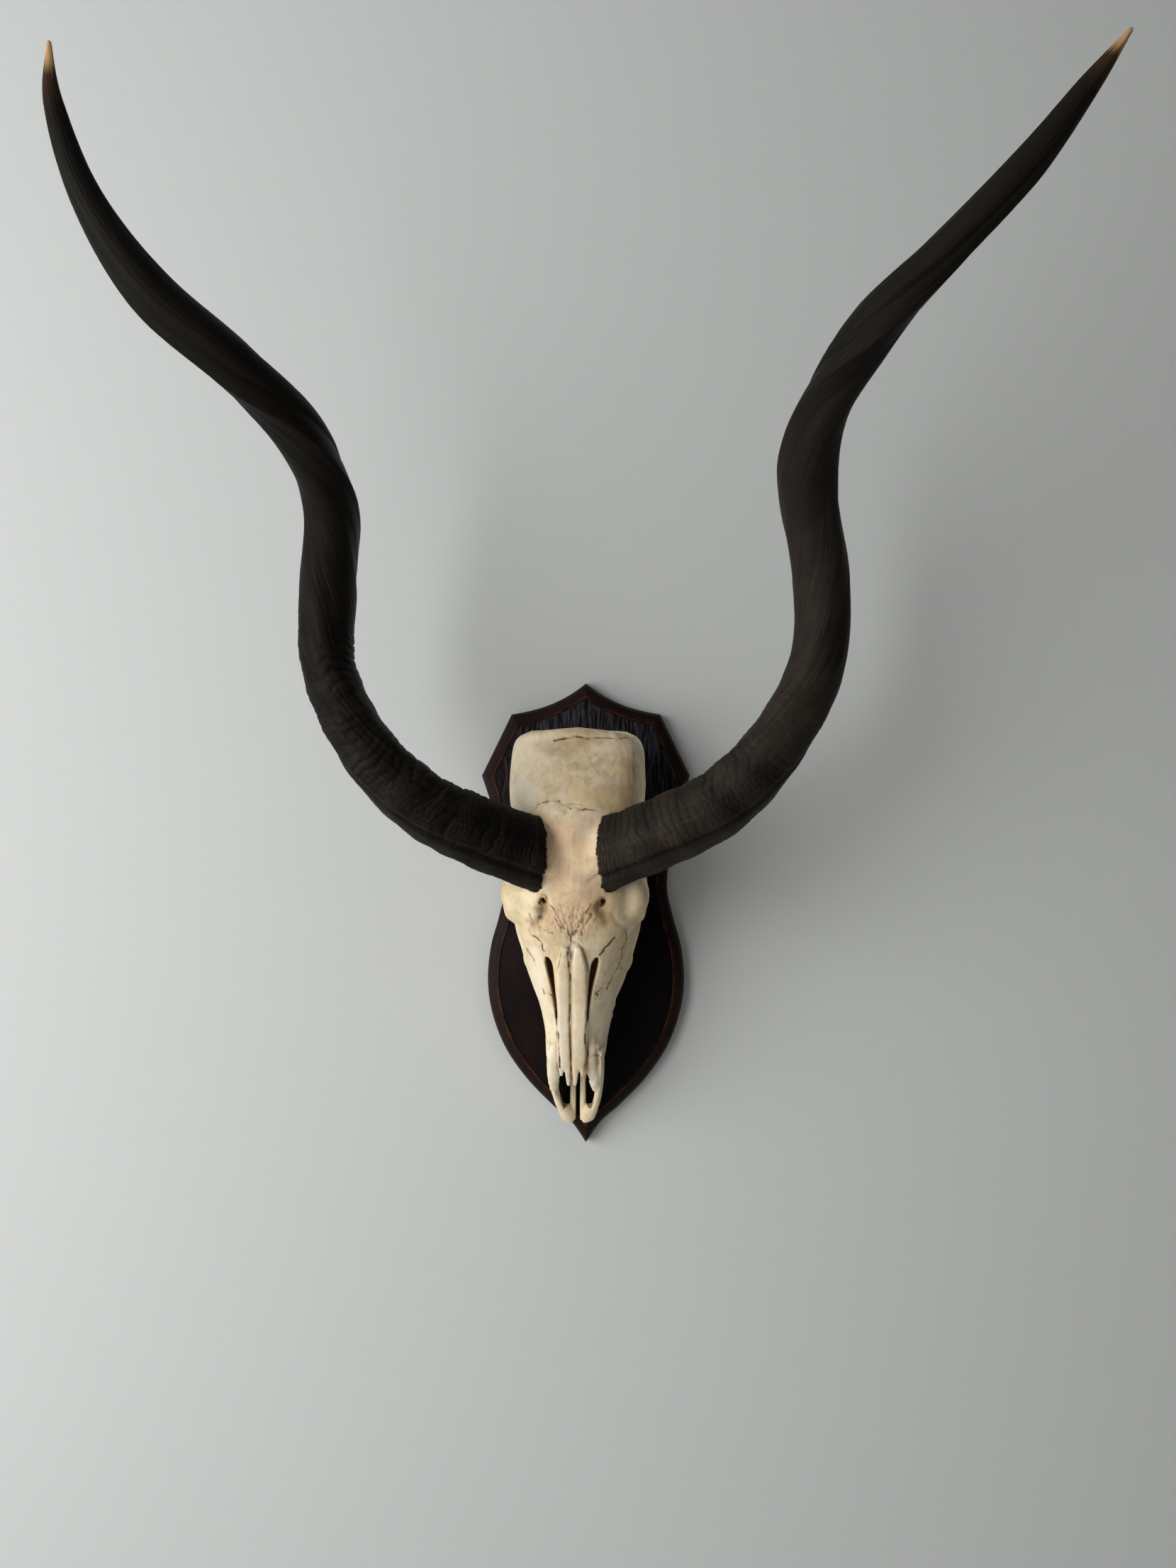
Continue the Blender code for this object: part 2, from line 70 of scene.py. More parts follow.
# The head's body: place up the face, then five points of half its section, as sideways and height
BODY = [
    (84, (0, 62), (12, 61), (28, 50), (29, 20), (14, 11)),
    (100, (0, 73), (14, 72), (29.5, 56), (31, 17), (15, 13)),
    (118, (0, 80), (17, 78), (33, 56), (33, 14), (17, 20)),
    (140, (0, 88), (22, 84), (39, 56), (36, 12), (18, 25)),
    (160, (0, 95), (27, 89), (47.5, 52), (42, 12), (19, 27)),
    (180, (0, 103), (33, 94), (54.5, 50), (45, 13), (20, 28)),
    (204, (0, 113), (38, 101), (57.5, 56), (47, 16), (22, 29)),
    (220, (0, 121), (42, 109), (62, 66), (46, 28), (20, 31)),
    (240, (0, 130), (45, 117), (69, 78), (44, 38), (16, 34)),
    (262, (0, 138), (44, 122), (70, 82), (42, 42), (14, 36)),
    (280, (0, 143), (36, 122), (56, 80), (42, 46), (14, 34)),
    (300, (0, 147), (32, 124), (50, 76), (44, 44), (15, 32)),
    (322, (0, 144), (36, 124), (57, 80), (50, 44), (17, 30)),
    (342, (0, 137), (48, 121), (67.5, 82), (56, 46), (19, 29)),
    (368, (0, 124), (52, 112), (70.5, 76), (59, 46), (20, 28)),
    (394, (0, 111), (52, 102), (69.5, 70), (58, 44), (20, 28)),
    (411, (0, 102), (49, 94), (67.5, 66), (54, 44), (18, 30)),
    (420, (0, 95), (45, 86), (62, 62), (48, 45), (17, 33)),
    (426, (0, 86), (36, 77), (50, 60), (38, 47), (14, 40)),
]
# The bone cores under the horns: distance along the horn from its rim, and size
PEDICLE = ((-62, 0.62), (-44, 0.86), (-22, 1.0), (0, 1.0), (9, 1.0))
SKULL_TRIANGLES = 190000

# Horns: stations as side, height, distance from the wall, width and the keel's turn in degrees
RIGHT_HORN = [
    (-47, 75, 148, 67, 0), (-99, 97, 175, 65, 4), (-157, 127, 193, 60, 14), (-211, 182, 202, 58, 36),
    (-243, 252, 203, 55, 72), (-242, 328, 212, 58, 112), (-234, 397, 244, 48, 172), (-248, 449, 294, 50, 258),
    (-292, 492, 343, 44, 328), (-346, 537, 378, 38, 352), (-386, 598, 404, 25, 362),
    (-405, 662, 422, 16, 372), (-404, 703, 432, 4, 380),
]
LEFT_HORN = [
    (20, 75, 148, 67, 0), (74, 99, 173, 66, 4), (133, 131, 193, 63, 12), (186, 189, 202, 60, 32),
    (220, 260, 203, 58, 62), (222, 338, 212, 58, 98), (204, 409, 244, 55, 142), (205, 464, 294, 47, 200),
    (236, 518, 343, 48, 290), (288, 570, 378, 34, 340), (342, 624, 404, 28, 358), (385, 678, 422, 17, 370),
    (412, 713, 432, 4, 380),
]
HORNS = ((RIGHT_HORN, -1), (LEFT_HORN, 1))
RIM_TILT = (0.95, 0.02, 0.31)
# The rim's edge, turned in: how far up inside the horn, and its size
HORN_LIP = ((9.0, 0.9), (6.0, 0.925), (1.5, 0.945), (0.0, 0.985))
HORN_RINGS = 480
HORN_SIDES = 160
# Radius of the straight cylinder that carries a horn's pattern
PATTERN_RADIUS = 30.0
# Each horn's colours: dark, grey and light; the right horn's are several times darker, as painted shade for
# the horn that faces away from the window light
SHADED_RIGHT_TONES = ((0.0040, 0.0032, 0.0025), (0.0075, 0.0058, 0.0044), (0.030, 0.022, 0.016))
LEFT_TONES = ((0.014, 0.0105, 0.0080), (0.022, 0.0170, 0.0130), (0.052, 0.040, 0.030))

# Screws, in millimetres: side and height of each, then the shape they share
SCREWS = {"upper_screw": (-6.9, 158.0), "lower_screw": (-8.9, -77.0)}
SCREW_LENGTH = 57.0
SCREW_PITCH = 3.2
SCREW_SHANK = 1.62
SCREW_NECK = 0.6
SCREW_THREAD = 0.75
DRIVE = (5.4, 3.4, 1.1)
DRIVE_TURN = 0.35
# Profiles of the head and of the hole: depth and radius
SCREW_HEAD = [(0.4, 4.3), (0.55, 4.7), (0.8, 4.8), (1.2, 4.75), (3.6, 2.5), (4.2, 2.35)]
SCREW_HOLE = [(-1.0, 5.6), (0.4, 5.6), (3.4, 3.2), (SHIELD_THICKNESS + 1, 3.2)]
HOLE_EDGE = 9

# Camera, level and square to the wall
CAMERA_DISTANCE = 1.320
CAMERA_HEIGHT = 0.1437
CAMERA_SIDE = 0.0023
FOCAL_PIXELS = 1661.4
IMAGE_WIDTH = 1659
IMAGE_HEIGHT = 2212
SENSOR = 36.0

# Wall and floor, in metres: two opposite corners of each
WALL = ((-2.6, 0.001, -0.8), (2.6, 0.001, 2.2))
FLOOR = ((-4, -6, -0.8), (4, 4, -0.8))
# Lights, in metres: place, aim, width and height, then watts and colour
LIGHTS = {
    "window": ((-2.05, -1.8, 0.2), (0.0, 0.0, 0.05), (2.3, 2.4), 84, (1.0, 0.985, 0.955)),
    "soft_fill": ((-0.5, -2.2, 3.0), (0.0, 0.0, 0.0), (2.6, 2.0), 9, (0.97, 0.98, 1.0)),
    "rear_fill": ((0.9, 2.3, 0.9), (0.0, 0.0, 0.0), (2.0, 2.0), 22, (1.0, 0.98, 0.95)),
}
ROOM_LIGHT = (0.86, 0.83, 0.78, 1)
ROOM_LIGHT_STRENGTH = 0.13


# Curves, noise and meshes

def spline(points, position):
    # Catmull-Rom curve through rows of numbers, at positions from 0 to the last row.
    rows = np.asarray(points, float)
    last = len(rows) - 1
    position = np.clip(np.atleast_1d(np.asarray(position, float)), 0, last)
    start = np.minimum(position.astype(int), last - 1)
    t = (position - start)[:, None]
    a, b, c, d = (rows[np.clip(start + step, 0, last)] for step in (-1, 0, 1, 2))
    return (2 * b + (c - a) * t + (2 * a - 5 * b + 4 * c - d) * t ** 2 + (3 * b - a - 3 * c + d) * t ** 3) / 2


def ease(low, high, value):
    share = np.clip((np.asarray(value, float) - low) / (high - low), 0, 1)
    return share * share * (3 - 2 * share)


def bell(value):
    return np.exp(-value ** 2)


def unit(rows):
    return rows / np.maximum(np.linalg.norm(rows, axis=-1, keepdims=True), 1e-6)


def travel(points):
    # Length of the way to each point along a line of points.
    return np.concatenate([[0], np.cumsum(np.linalg.norm(np.diff(points, axis=0), axis=1))])


def circle(sides):
    return np.linspace(0, 2 * np.pi, sides, endpoint=False)


def hash_noise(cells, seed):
    # A repeatable pseudo-random number from 0 to 1 for each whole-number cell.
    k = cells[..., 0] * 374761393 + cells[..., 1] * 668265263 + cells[..., 2] * 2147483647 + seed * 974634777
    k = (k ^ (k >> 13)) * 1274126177
    k = k ^ (k >> 16)
    return (k & 0xFFFFFF) / float(0xFFFFFF)


def corners(share):
    # The eight corners of a cell, each with its weight for the shares passed along the three axes.
    for step in itertools.product((0, 1), repeat=3):
        weight = np.where(step, share, 1 - share)
        yield np.array(step), weight[..., 0] * weight[..., 1] * weight[..., 2]


def noise(points, size, seed=0):
    # Smooth value noise from -1 to 1 with features of the given size.
    place = np.asarray(points, float) / size
    cell = np.floor(place).astype(np.int64)
    share = place - cell
    share = share * share * (3 - 2 * share)
    return sum(weight * hash_noise(cell + step, seed) for step, weight in corners(share)) * 2 - 1


def mesh_object(name, points, faces, smooth=True):
    mesh = bpy.data.meshes.new(name)
    mesh.from_pydata(np.asarray(points).tolist(), [], faces, shade_flat=not smooth)
    mesh.validate()
    item = bpy.data.objects.new(name, mesh)
    bpy.context.scene.collection.objects.link(item)
    return item


def bake(item):
    # Replaces an object's mesh by what its modifiers make of it.
    graph = bpy.context.evaluated_depsgraph_get()
    old = item.data
    item.data = bpy.data.meshes.new_from_object(item.evaluated_get(graph))
    item.modifiers.clear()
    bpy.data.meshes.remove(old)


def cut_away(item, tool):
    cut = item.modifiers.new("cut", "BOOLEAN")
    cut.object = tool
    cut.solver = "EXACT"
    bake(item)
    bpy.data.objects.remove(tool)


def set_attribute(mesh, name, values, kind="FLOAT"):
    layer = mesh.attributes.new(name, kind, "POINT")
    part = "vector" if kind == "FLOAT_VECTOR" else "value"
    layer.data.foreach_set(part, np.asarray(values, np.float32).ravel())


def ring_faces(rings, sides):
    # Quads between successive closed rings of points.
    i = np.arange(rings - 1)[:, None] * sides
    j = np.arange(sides)[None, :]
    k = (j + 1) % sides
    return np.stack([i + j, i + k, i + sides + k, i + sides + j], axis=-1).reshape(-1, 4)


def end_faces(rings, sides):
    # Triangles from the first and the last ring to the two end points, which follow the rings' points.
    j = np.arange(sides)
    k = (j + 1) % sides
    last = (rings - 1) * sides
    end = np.full(sides, rings * sides)
    return np.concatenate([np.stack([k, j, end], axis=-1), np.stack([last + j, last + k, end + 1], axis=-1)])


def tube_faces(rings, sides):
    return ring_faces(rings, sides).tolist() + end_faces(rings, sides).tolist()


# Bone forms: each is a stack of rings, and each function for a part of the skull returns a list of them

def lean(points):
    # The skull leans a little to its right, more so along the nose.
    points = np.array(points, float)
    along = points[..., 1]
    amount = NOSE_LEAN + (CROWN_LEAN - NOSE_LEAN) * ease(100, 300, along)
    pivot = 18 + 27 * ease(40, 140, along)
    points[..., 0] -= amount * (points[..., 2] - pivot)
    return points


def bar(path, sides=18, steps=5, square=1.0):
    # Oval bar along rows of side, along, height, width and thickness; below 1, square flattens its faces.
    at = np.linspace(0, len(path) - 1, (len(path) - 1) * steps + 1)
    rows = spline(path, at)
    run = unit(lean(spline(path, at + 0.05)[:, :3]) - lean(spline(path, at - 0.05)[:, :3]))
    across = unit(np.array([1.0, 0, 0]) - run * run[:, :1])
    over = np.cross(run, across)
    waves = (np.cos(circle(sides)), np.sin(circle(sides)))
    wide, thick = ((np.sign(wave) * np.abs(wave) ** square)[:, None] for wave in waves)
    rings = lean(rows[:, :3])[:, None] + across[:, None] * wide * rows[:, 3, None, None] / 2
    return rings + over[:, None] * thick * rows[:, 4, None, None] / 2


def ball(centre, radii, turn=(0, 0)):
    # Turned by degrees about the sideways axis, then about the one along the face.
    angle = circle(24)[None, :]
    down = np.linspace(0.06, math.pi - 0.06, 14)[:, None]
    round_form = np.stack([np.sin(down) * np.cos(angle), np.sin(down) * np.sin(angle),
                           np.cos(down) + 0 * angle], axis=-1)
    spin = Matrix.Rotation(math.radians(turn[1]), 3, "Y") @ Matrix.Rotation(math.radians(turn[0]), 3, "X")
    return lean(np.array([centre], float))[0] + (round_form * np.array(radii)) @ np.array(spin).T


def oval(centre, first, second, sides):
    # A leaning ring around a centre, with its two half axes.
    angle = circle(sides)[:, None]
    return lean(np.array(centre, float) + np.cos(angle) * first + np.sin(angle) * second)


def bars(path, **form):
    # The same bar on both sides of the face.
    return [bar([(side * row[0],) + tuple(row[1:]) for row in path], **form) for side in (1, -1)]


def balls(centre, radii, turn=(0, 0)):
    # The same ball on both sides of the face.
    return [ball((side * centre[0],) + centre[1:], radii, (turn[0], side * turn[1])) for side in (1, -1)]


def body_shapes():
    flat = [(row[0],) + sum(row[1:], ()) for row in BODY]
    rings = []
    for row in spline(flat, np.linspace(0, len(BODY) - 1, (len(BODY) - 1) * 4 + 1)):
        half = [(row[n], row[n + 1]) for n in range(1, 11, 2)]
        loop = half + [(0, half[-1][1] + 1)] + [(-x, h) for x, h in reversed(half[1:])]
        at = 1 + np.linspace(0, len(loop), len(loop) * 6, endpoint=False)
        outline = spline([loop[-1]] + loop + loop[:2], at)
        rings.append(lean(np.insert(outline, 1, row[0], axis=1)))
    return [np.array(rings)]


def nasal_shapes():
    nasal = [(7.2, 72, 66, 13.6, 5), (7.4, 84, 70, 15, 8), (7.8, 120, 82, 15.8, 9), (7.8, 160, 95, 15.8, 9),
             (7.5, 188, 106, 14.4, 9), (6.8, 201, 112, 10, 8), (6.4, 207, 114, 6, 6)]
    outer_prong = [(10.7, 84, 70, 6.6, 7), (10.8, 74, 67, 5.4, 5), (10.9, 65, 64, 3.4, 3)]
    inner_prong = [(3.9, 84, 70, 7.4, 7), (3.8, 70, 66, 6.4, 5), (3.6, 60, 63, 5, 4), (3.4, 54, 61, 3, 3)]
    return sum((bars(path, sides=26, square=0.62) for path in (nasal, outer_prong, inner_prong)), [])


def muzzle_shapes():
    wall = [(7.6, -0.5, 5.6, 4, 3), (8.2, 2, 6, 9, 6), (11.0, 8, 7, 16, 9), (18.5, 24, 12, 12, 14),
            (23.5, 42, 20, 9.5, 24), (25.5, 60, 27, 9, 36), (26, 80, 35, 9, 48), (26, 100, 43, 9, 58)]
    wall_top = [(23.5, 50, 34, 8, 12), (24, 64, 42, 9, 14), (24.3, 78, 49, 9, 15), (24.5, 94, 53, 9, 15),
                (24, 110, 58, 8, 12)]
    shoulder = [(22.5, 50, 39, 10, 8), (22.5, 66, 50, 11, 9), (22.5, 82, 58, 11, 9), (21.5, 100, 66, 10, 8)]
    nose_edge = [(23, 42, 30, 9, 6), (20.5, 58, 46, 11, 6), (19, 72, 58, 12, 6), (18.5, 88, 67, 12, 6),
                 (17.5, 108, 70, 8, 3)]
    middle_bar = [(6, 3, 6, 8, 5), (5.4, 20, 7, 7, 5), (5.4, 50, 9, 7, 5), (8, 84, 14, 12, 7),
                  (10, 100, 17, 14, 8)]
    return sum((bars(path) for path in (wall, wall_top, shoulder, nose_edge, middle_bar)), [])


def orbit_shapes():
    rim = [(65 + 4 * math.sin(a), 258 - 25 * math.cos(a), 73 + 22 * math.sin(a), 10, 10)
           for a in np.linspace(0, 2 * np.pi, 17)]
    arch = [(50, 186, 42, 12, 14), (62, 220, 46, 9, 16), (68, 262, 50, 7, 15), (69, 298, 55, 7, 14),
            (65, 330, 60, 10, 16), (56, 350, 66, 12, 18)]
    post = [(67, 282, 88, 10, 9), (69, 284, 70, 8, 8), (68, 280, 52, 8, 8)]
    return (bars(rim, steps=3) + bars(arch) + bars(post)
            + balls((57, 258, 92), (19, 25, 22)) + balls((50, 186, 40), (8, 12, 8)))


def base_shapes():
    ear_process = [(42, 394, 48, 24, 18), (40, 397, 28, 15, 12), (38, 400, 12, 10, 8), (37, 401, 0.8, 6, 5)]
    palate_wing = [(22, 214, 28, 5, 16), (20, 240, 28, 4.5, 24), (18, 266, 28, 4.5, 24), (16, 292, 32, 6, 14)]
    floor_bone = [(0, 290, 34, 22, 14), (0, 330, 29, 26, 14), (0, 385, 27, 32, 15), (0, 414, 31, 28, 14)]
    neck_crest = ((-57, 413, 76, 12, 16), (-38, 419, 88, 12, 14), (0, 422, 93, 14, 14),
                  (38, 419, 88, 12, 14), (57, 413, 76, 12, 16))
    crest = [oval((x, along, height), (0, tall / 2, 0), (0, 0, deep / 2), 16)
             for x, along, height, tall, deep in neck_crest]
    condyles = balls((14.5, 412, 31), (11, 13, 14), (20, -12))
    ear_capsules = balls((27, 372, 20), (9, 15, 13))
    return (bars(ear_process) + bars(palate_wing) + [bar(floor_bone), np.array(crest)]
            + condyles + ear_capsules + [ball((0, 424, 66), (12, 6, 14))])


def tooth_shapes():
    # Six cheek teeth a side, of which the hinder three have two cusps.
    shapes = []
    for side in (1, -1):
        along = 112.0
        for number, length in enumerate((12, 14, 14, 18, 21, 23)):
            share = number / 5
            x = side * (28 + 12 * share)
            width = 13 + 5 * share
            cusps = 1 if number < 3 else 2
            part = length / cusps
            for cusp in range(cusps):
                centre = along + part * (cusp + 0.5)
                rows = ((x, 26, width, part * 1.02), (x, 12, width + 1, part * 1.04),
                        (x + side, 3, width - 2, part * 0.96), (x + side * 1.5, 0.6, width - 6, part * 0.7))
                shapes.append(np.array([oval((middle, centre, height), (wide / 2, 0, 0), (0, long / 2, 0), 14)
                                        for middle, height, wide, long in rows]))
            along += length
    return shapes


def wide_hollows():
    # Eye sockets and the pits beside them, holes of the brow, back of the nose, palate and brain.
    on_both_sides = (((82, 258, 72), (27, 20, 18)), ((64, 260, 70), (18, 17, 15)),
                     ((76, 306, 76), (22, 22, 13)), ((29.5, 254, 129), (1.9, 2.6, 9), (25, 0)),
                     ((6, 262, 16), (11, 30, 18)))
    shapes = sum((balls(*row) for row in on_both_sides), [])
    shapes += [ball((side * 30.6, 251, 129), (1.2, 1.5, 8), (25, 20)) for side in (1, -1)]
    return shapes + [ball((0, 150, 4), (17, 66, 18)), ball((0, 426, 45), (11, 24, 10))]


def narrow_hollows():
    slit = [(15.8, 126, 88, 1.5, 24), (16.8, 140, 92, 3.2, 26), (18.9, 158, 97, 4.4, 28),
            (21.8, 178, 102, 7, 30), (23.8, 188, 105, 7.6, 30), (25.4, 194, 107, 3, 22)]
    palate_slot = [(13, 20, 8, 5, 22), (15.5, 32, 12, 8, 26), (16, 48, 14, 10, 28), (15, 66, 16, 6, 28)]
    nose = [(0, 56, 40, 34, 34), (0, 76, 42, 37, 36), (0, 96, 45, 40, 38), (0, 120, 51, 46, 42),
            (0, 150, 60, 54, 44), (0, 186, 68, 56, 40), (0, 206, 72, 30, 26)]
    tip_split = [(0, -4, 8, 3.4, 40), (0, 44, 8, 3.4, 40), (0, 72, 10, 1.8, 40)]
    return bars(slit) + bars(palate_slot) + [bar(nose), bar(tip_split)]


SKULL_PLACE = Matrix.Translation(Vector((SKULL_SIDE_SHIFT, -SHIELD_THICKNESS - GAP, SKULL_TIP_HEIGHT)))
SKULL_PLACE = np.array(SKULL_PLACE @ Matrix.Rotation(math.radians(SKULL_ROLL), 4, "Y"))


def skull_to_world(points):
    local = np.stack([points[:, 0], -points[:, 2], points[:, 1]], axis=-1)
    return local @ SKULL_PLACE[:3, :3].T + SKULL_PLACE[:3, 3]


def world_to_skull(points):
    local = (points - SKULL_PLACE[:3, 3]) @ SKULL_PLACE[:3, :3]
    return np.stack([local[..., 0], local[..., 2], -local[..., 1]], axis=-1)


# Horn outline

def horn_frames(stations, at, outward):
    rows = spline(stations, at)
    step = spline(stations, at + 0.04) - spline(stations, at - 0.04)
    run = unit(np.stack([step[:, 0], -step[:, 2], step[:, 1]], axis=-1))
    front = unit(np.array([0, -1.0, 0]) - run * -run[:, 1:2])
    outer = np.cross(run, front) * outward
    centre = np.stack([rows[:, 0], -rows[:, 2], rows[:, 1]], axis=-1)
    return centre, run, front, outer, rows[:, 3], rows[:, 4]


def from_keel(turn):
    # Turns in degrees as -180 to 180 away from the keel.
    return (turn + 180) % 360 - 180


def horn_outline(turn, share):
    # Radius of the section for turns in degrees away from the keel, at a share of the way from rim to tip.
    away = from_keel(turn)
    sharp = ease(0.05, 0.35, share)
    bulge = 0.19 * np.exp(-(np.abs(away) / (24 - 6 * sharp)) ** (2 - 0.7 * sharp))
    groove = 0.10 * bell((away + 50 - 8 * sharp) / (8 + 3 * sharp)) * (1 - 0.35 * sharp)
    valley = 0.05 * bell((away - 46) / 13) * (1 - 0.2 * sharp)
    back = 0.07 * bell((np.abs(away) - 180) / 26)
    return 0.93 + bulge - groove - valley + back


def rim_normal(outward):
    return unit(np.array([outward * RIM_TILT[0], -RIM_TILT[2], RIM_TILT[1]]))


def horn_surface(stations, outward, at, sides, scale=1.0, grow=0.0):
    # Rings of points from the rim up, with the first ones slid onto the slanted rim plane.
    turn = np.linspace(0, 360, sides, endpoint=False)
    last = len(stations) - 1
    at = np.atleast_1d(np.asarray(at, float))

    def straight(position):
        centre, run, front, outer, width, keel = horn_frames(stations, position, outward)
        radius = width[:, None] / 2 * horn_outline(turn[None, :], (position / last)[:, None]) * scale + grow
        angle = np.radians(turn[None, :] + keel[:, None])[..., None]
        way = outer[:, None] * np.cos(angle) - front[:, None] * np.sin(angle)
        return centre, run, way, centre[:, None] + way * radius[..., None]

    centre, run, way, rings = straight(at)
    base_centre, base_run, base_way, base = straight(np.array([0.0]))
    normal = rim_normal(outward)
    slide = (base_centre[0] @ normal - base[0] @ normal) / (base_run[0] @ normal)
    rings = rings + base_run[0] * slide[None, :, None] * (np.clip(1 - at, 0, 1) ** 1.5)[:, None, None]
    return turn, centre, run, way, rings


def horn_mouth(stations, outward, sides, scale):
    # The horn's lowest ring, made smaller, and the way in which the horn sets out.
    turn, centre, run, way, rings = horn_surface(stations, outward, 0, sides, scale=scale)
    return rings[0], run[0]


def pedicle_shapes():
    # The bone cores that the horns sit on.
    shapes = []
    for stations, outward in HORNS:
        ring, run = horn_mouth(stations, outward, 36, 0.9)
        centre = ring.mean(0)
        shapes.append(np.array([world_to_skull(centre + (ring - centre) * size + run * reach)
                                for reach, size in PEDICLE]))
    return shapes


def horn_room():
    # The room that the lower horns take.
    shapes = []
    for stations, outward in HORNS:
        rings = horn_surface(stations, outward, np.linspace(0, 3, 40), 48, grow=0.9)[4]
        rings[0] -= rim_normal(outward) * GAP
        shapes.append(np.array([world_to_skull(ring) for ring in rings]))
    return shapes


def horn_cores():
    # The part of that room that bone fills, in the horns' mouths.
    shapes = []
    for stations, outward in HORNS:
        ring, run = horn_mouth(stations, outward, 48, 0.86)
        shapes.append(np.array([world_to_skull(ring + run * reach) for reach in (-12.0, 4.0)]))
    return shapes


# Field of distances, which the bone forms are fused in

VOXEL = 1.0
FIELD_LOW = [int(v / VOXEL) for v in (-90, -10, -10)]
FIELD_SHAPE = tuple(int(v / VOXEL) for v in (180, 455, 186))


def field(shapes, band):
    points = []
    quads = []
    tris = []
    count = 0
    for rings in shapes:
        number, sides = rings.shape[:2]
        points += [rings.reshape(-1, 3), rings[0].mean(0)[None], rings[-1].mean(0)[None]]
        quads.append(ring_faces(number, sides) + count)
        tris.append(end_faces(number, sides) + count)
        count += number * sides + 2
    grid = openvdb.FloatGrid.createLevelSetFromPolygons(
        np.concatenate(points).astype(np.float32),
        triangles=np.concatenate(tris).astype(np.uint32),
        quads=np.concatenate(quads).astype(np.uint32),
        transform=openvdb.createLinearTransform(voxelSize=VOXEL),
        halfWidth=band / VOXEL)
    values = np.full(FIELD_SHAPE, band, np.float32)
    grid.copyToArray(values, ijk=tuple(FIELD_LOW))
    return values


def join(a, b, blend):
    near = np.maximum(blend - np.abs(a - b), 0) / blend
    return np.minimum(a, b) - near * near * blend / 4


def carve(a, b, blend):
    return -join(-a, b, blend)


def sample(values, points):
    # Reads the field at points by trilinear interpolation.
    place = np.clip(points / VOXEL - np.array(FIELD_LOW), 0, np.array(FIELD_SHAPE) - 1.001)
    cell = place.astype(int)
    return sum(weight * values[tuple((cell + step).T)] for step, weight in corners(place - cell))


def field_slope(values, points):
    shifts = np.eye(3) * VOXEL * 0.8
    parts = [sample(values, points + shift) - sample(values, points - shift) for shift in shifts]
    return unit(np.stack(parts, axis=-1))


def largest_shell(points, faces):
    # Drops the crumbs of bone that the hollows leave behind, and keeps the one large shell.
    label = np.arange(len(points))
    while True:
        lowest = label[faces].min(axis=1)
        spread = label.copy()
        for corner in range(3):
            np.minimum.at(spread, faces[:, corner], lowest)
        spread = spread[spread]
        spread = spread[spread]
        if (spread == label).all():
            break
        label = spread
    main = np.bincount(label[faces[:, 0]]).argmax()
    used, flat = np.unique(faces[label[faces[:, 0]] == main], return_inverse=True)
    return points[used], flat.reshape(-1, 3)


def fuse_skull():
    # The field before and after hollowing, and the surface of the hollowed one.
    bone = field(body_shapes(), 16)
    for shapes, band, blend in (
            (pedicle_shapes(), 12, 9.0), (orbit_shapes(), 9, 6.0), (base_shapes(), 9, 6.0),
            (muzzle_shapes(), 8, 5.0), (nasal_shapes(), 5, 1.2), (tooth_shapes(), 5, 1.2)):
        bone = join(bone, field(shapes, band), blend)
    hull = bone
    bone = carve(bone, field(wide_hollows(), 8), 3.0)
    bone = carve(bone, field(narrow_hollows(), 6), 1.2)
    bone = carve(bone, carve(field(horn_room(), 4), field(horn_cores(), 4), 0.2), 0.4)
    band = 3 * VOXEL
    shell = openvdb.FloatGrid(band)
    shell.transform = openvdb.createLinearTransform(voxelSize=VOXEL)
    shell.copyFromArray(np.clip(bone, -band, band), ijk=tuple(FIELD_LOW), tolerance=1e-4)
    points, tris, quads = shell.convertToPolygons(0.0, 0.0)
    faces = np.concatenate([quads[:, [0, 1, 2]], quads[:, [0, 2, 3]], tris.reshape(-1, 3)]).astype(np.int64)
    points, faces = largest_shell(points.astype(float), faces)
    return hull, bone, points, faces


def reduce_mesh(item, triangles):
    if len(item.data.polygons) > triangles:
        reduce = item.modifiers.new("reduce", "DECIMATE")
        reduce.ratio = triangles / len(item.data.polygons)
    soften = item.modifiers.new("soften", "SMOOTH")
    soften.factor = 0.4
    soften.iterations = 1
    bake(item)


# Horns

def creases(phase, sharp):
    # Level ridges with narrow grooves between them, once for every whole number of the phase.
    return 0.35 - (1 - np.abs(np.sin(np.pi * phase))) ** sharp


def pattern_place(turn, along):
    # Points on a straight cylinder, for turns in degrees and lengths along it.
    angle = np.radians(turn) + 0 * along
    around = [np.cos(angle) * PATTERN_RADIUS, np.sin(angle) * PATTERN_RADIUS]
    return np.stack(around + [along + 0 * turn], axis=-1)


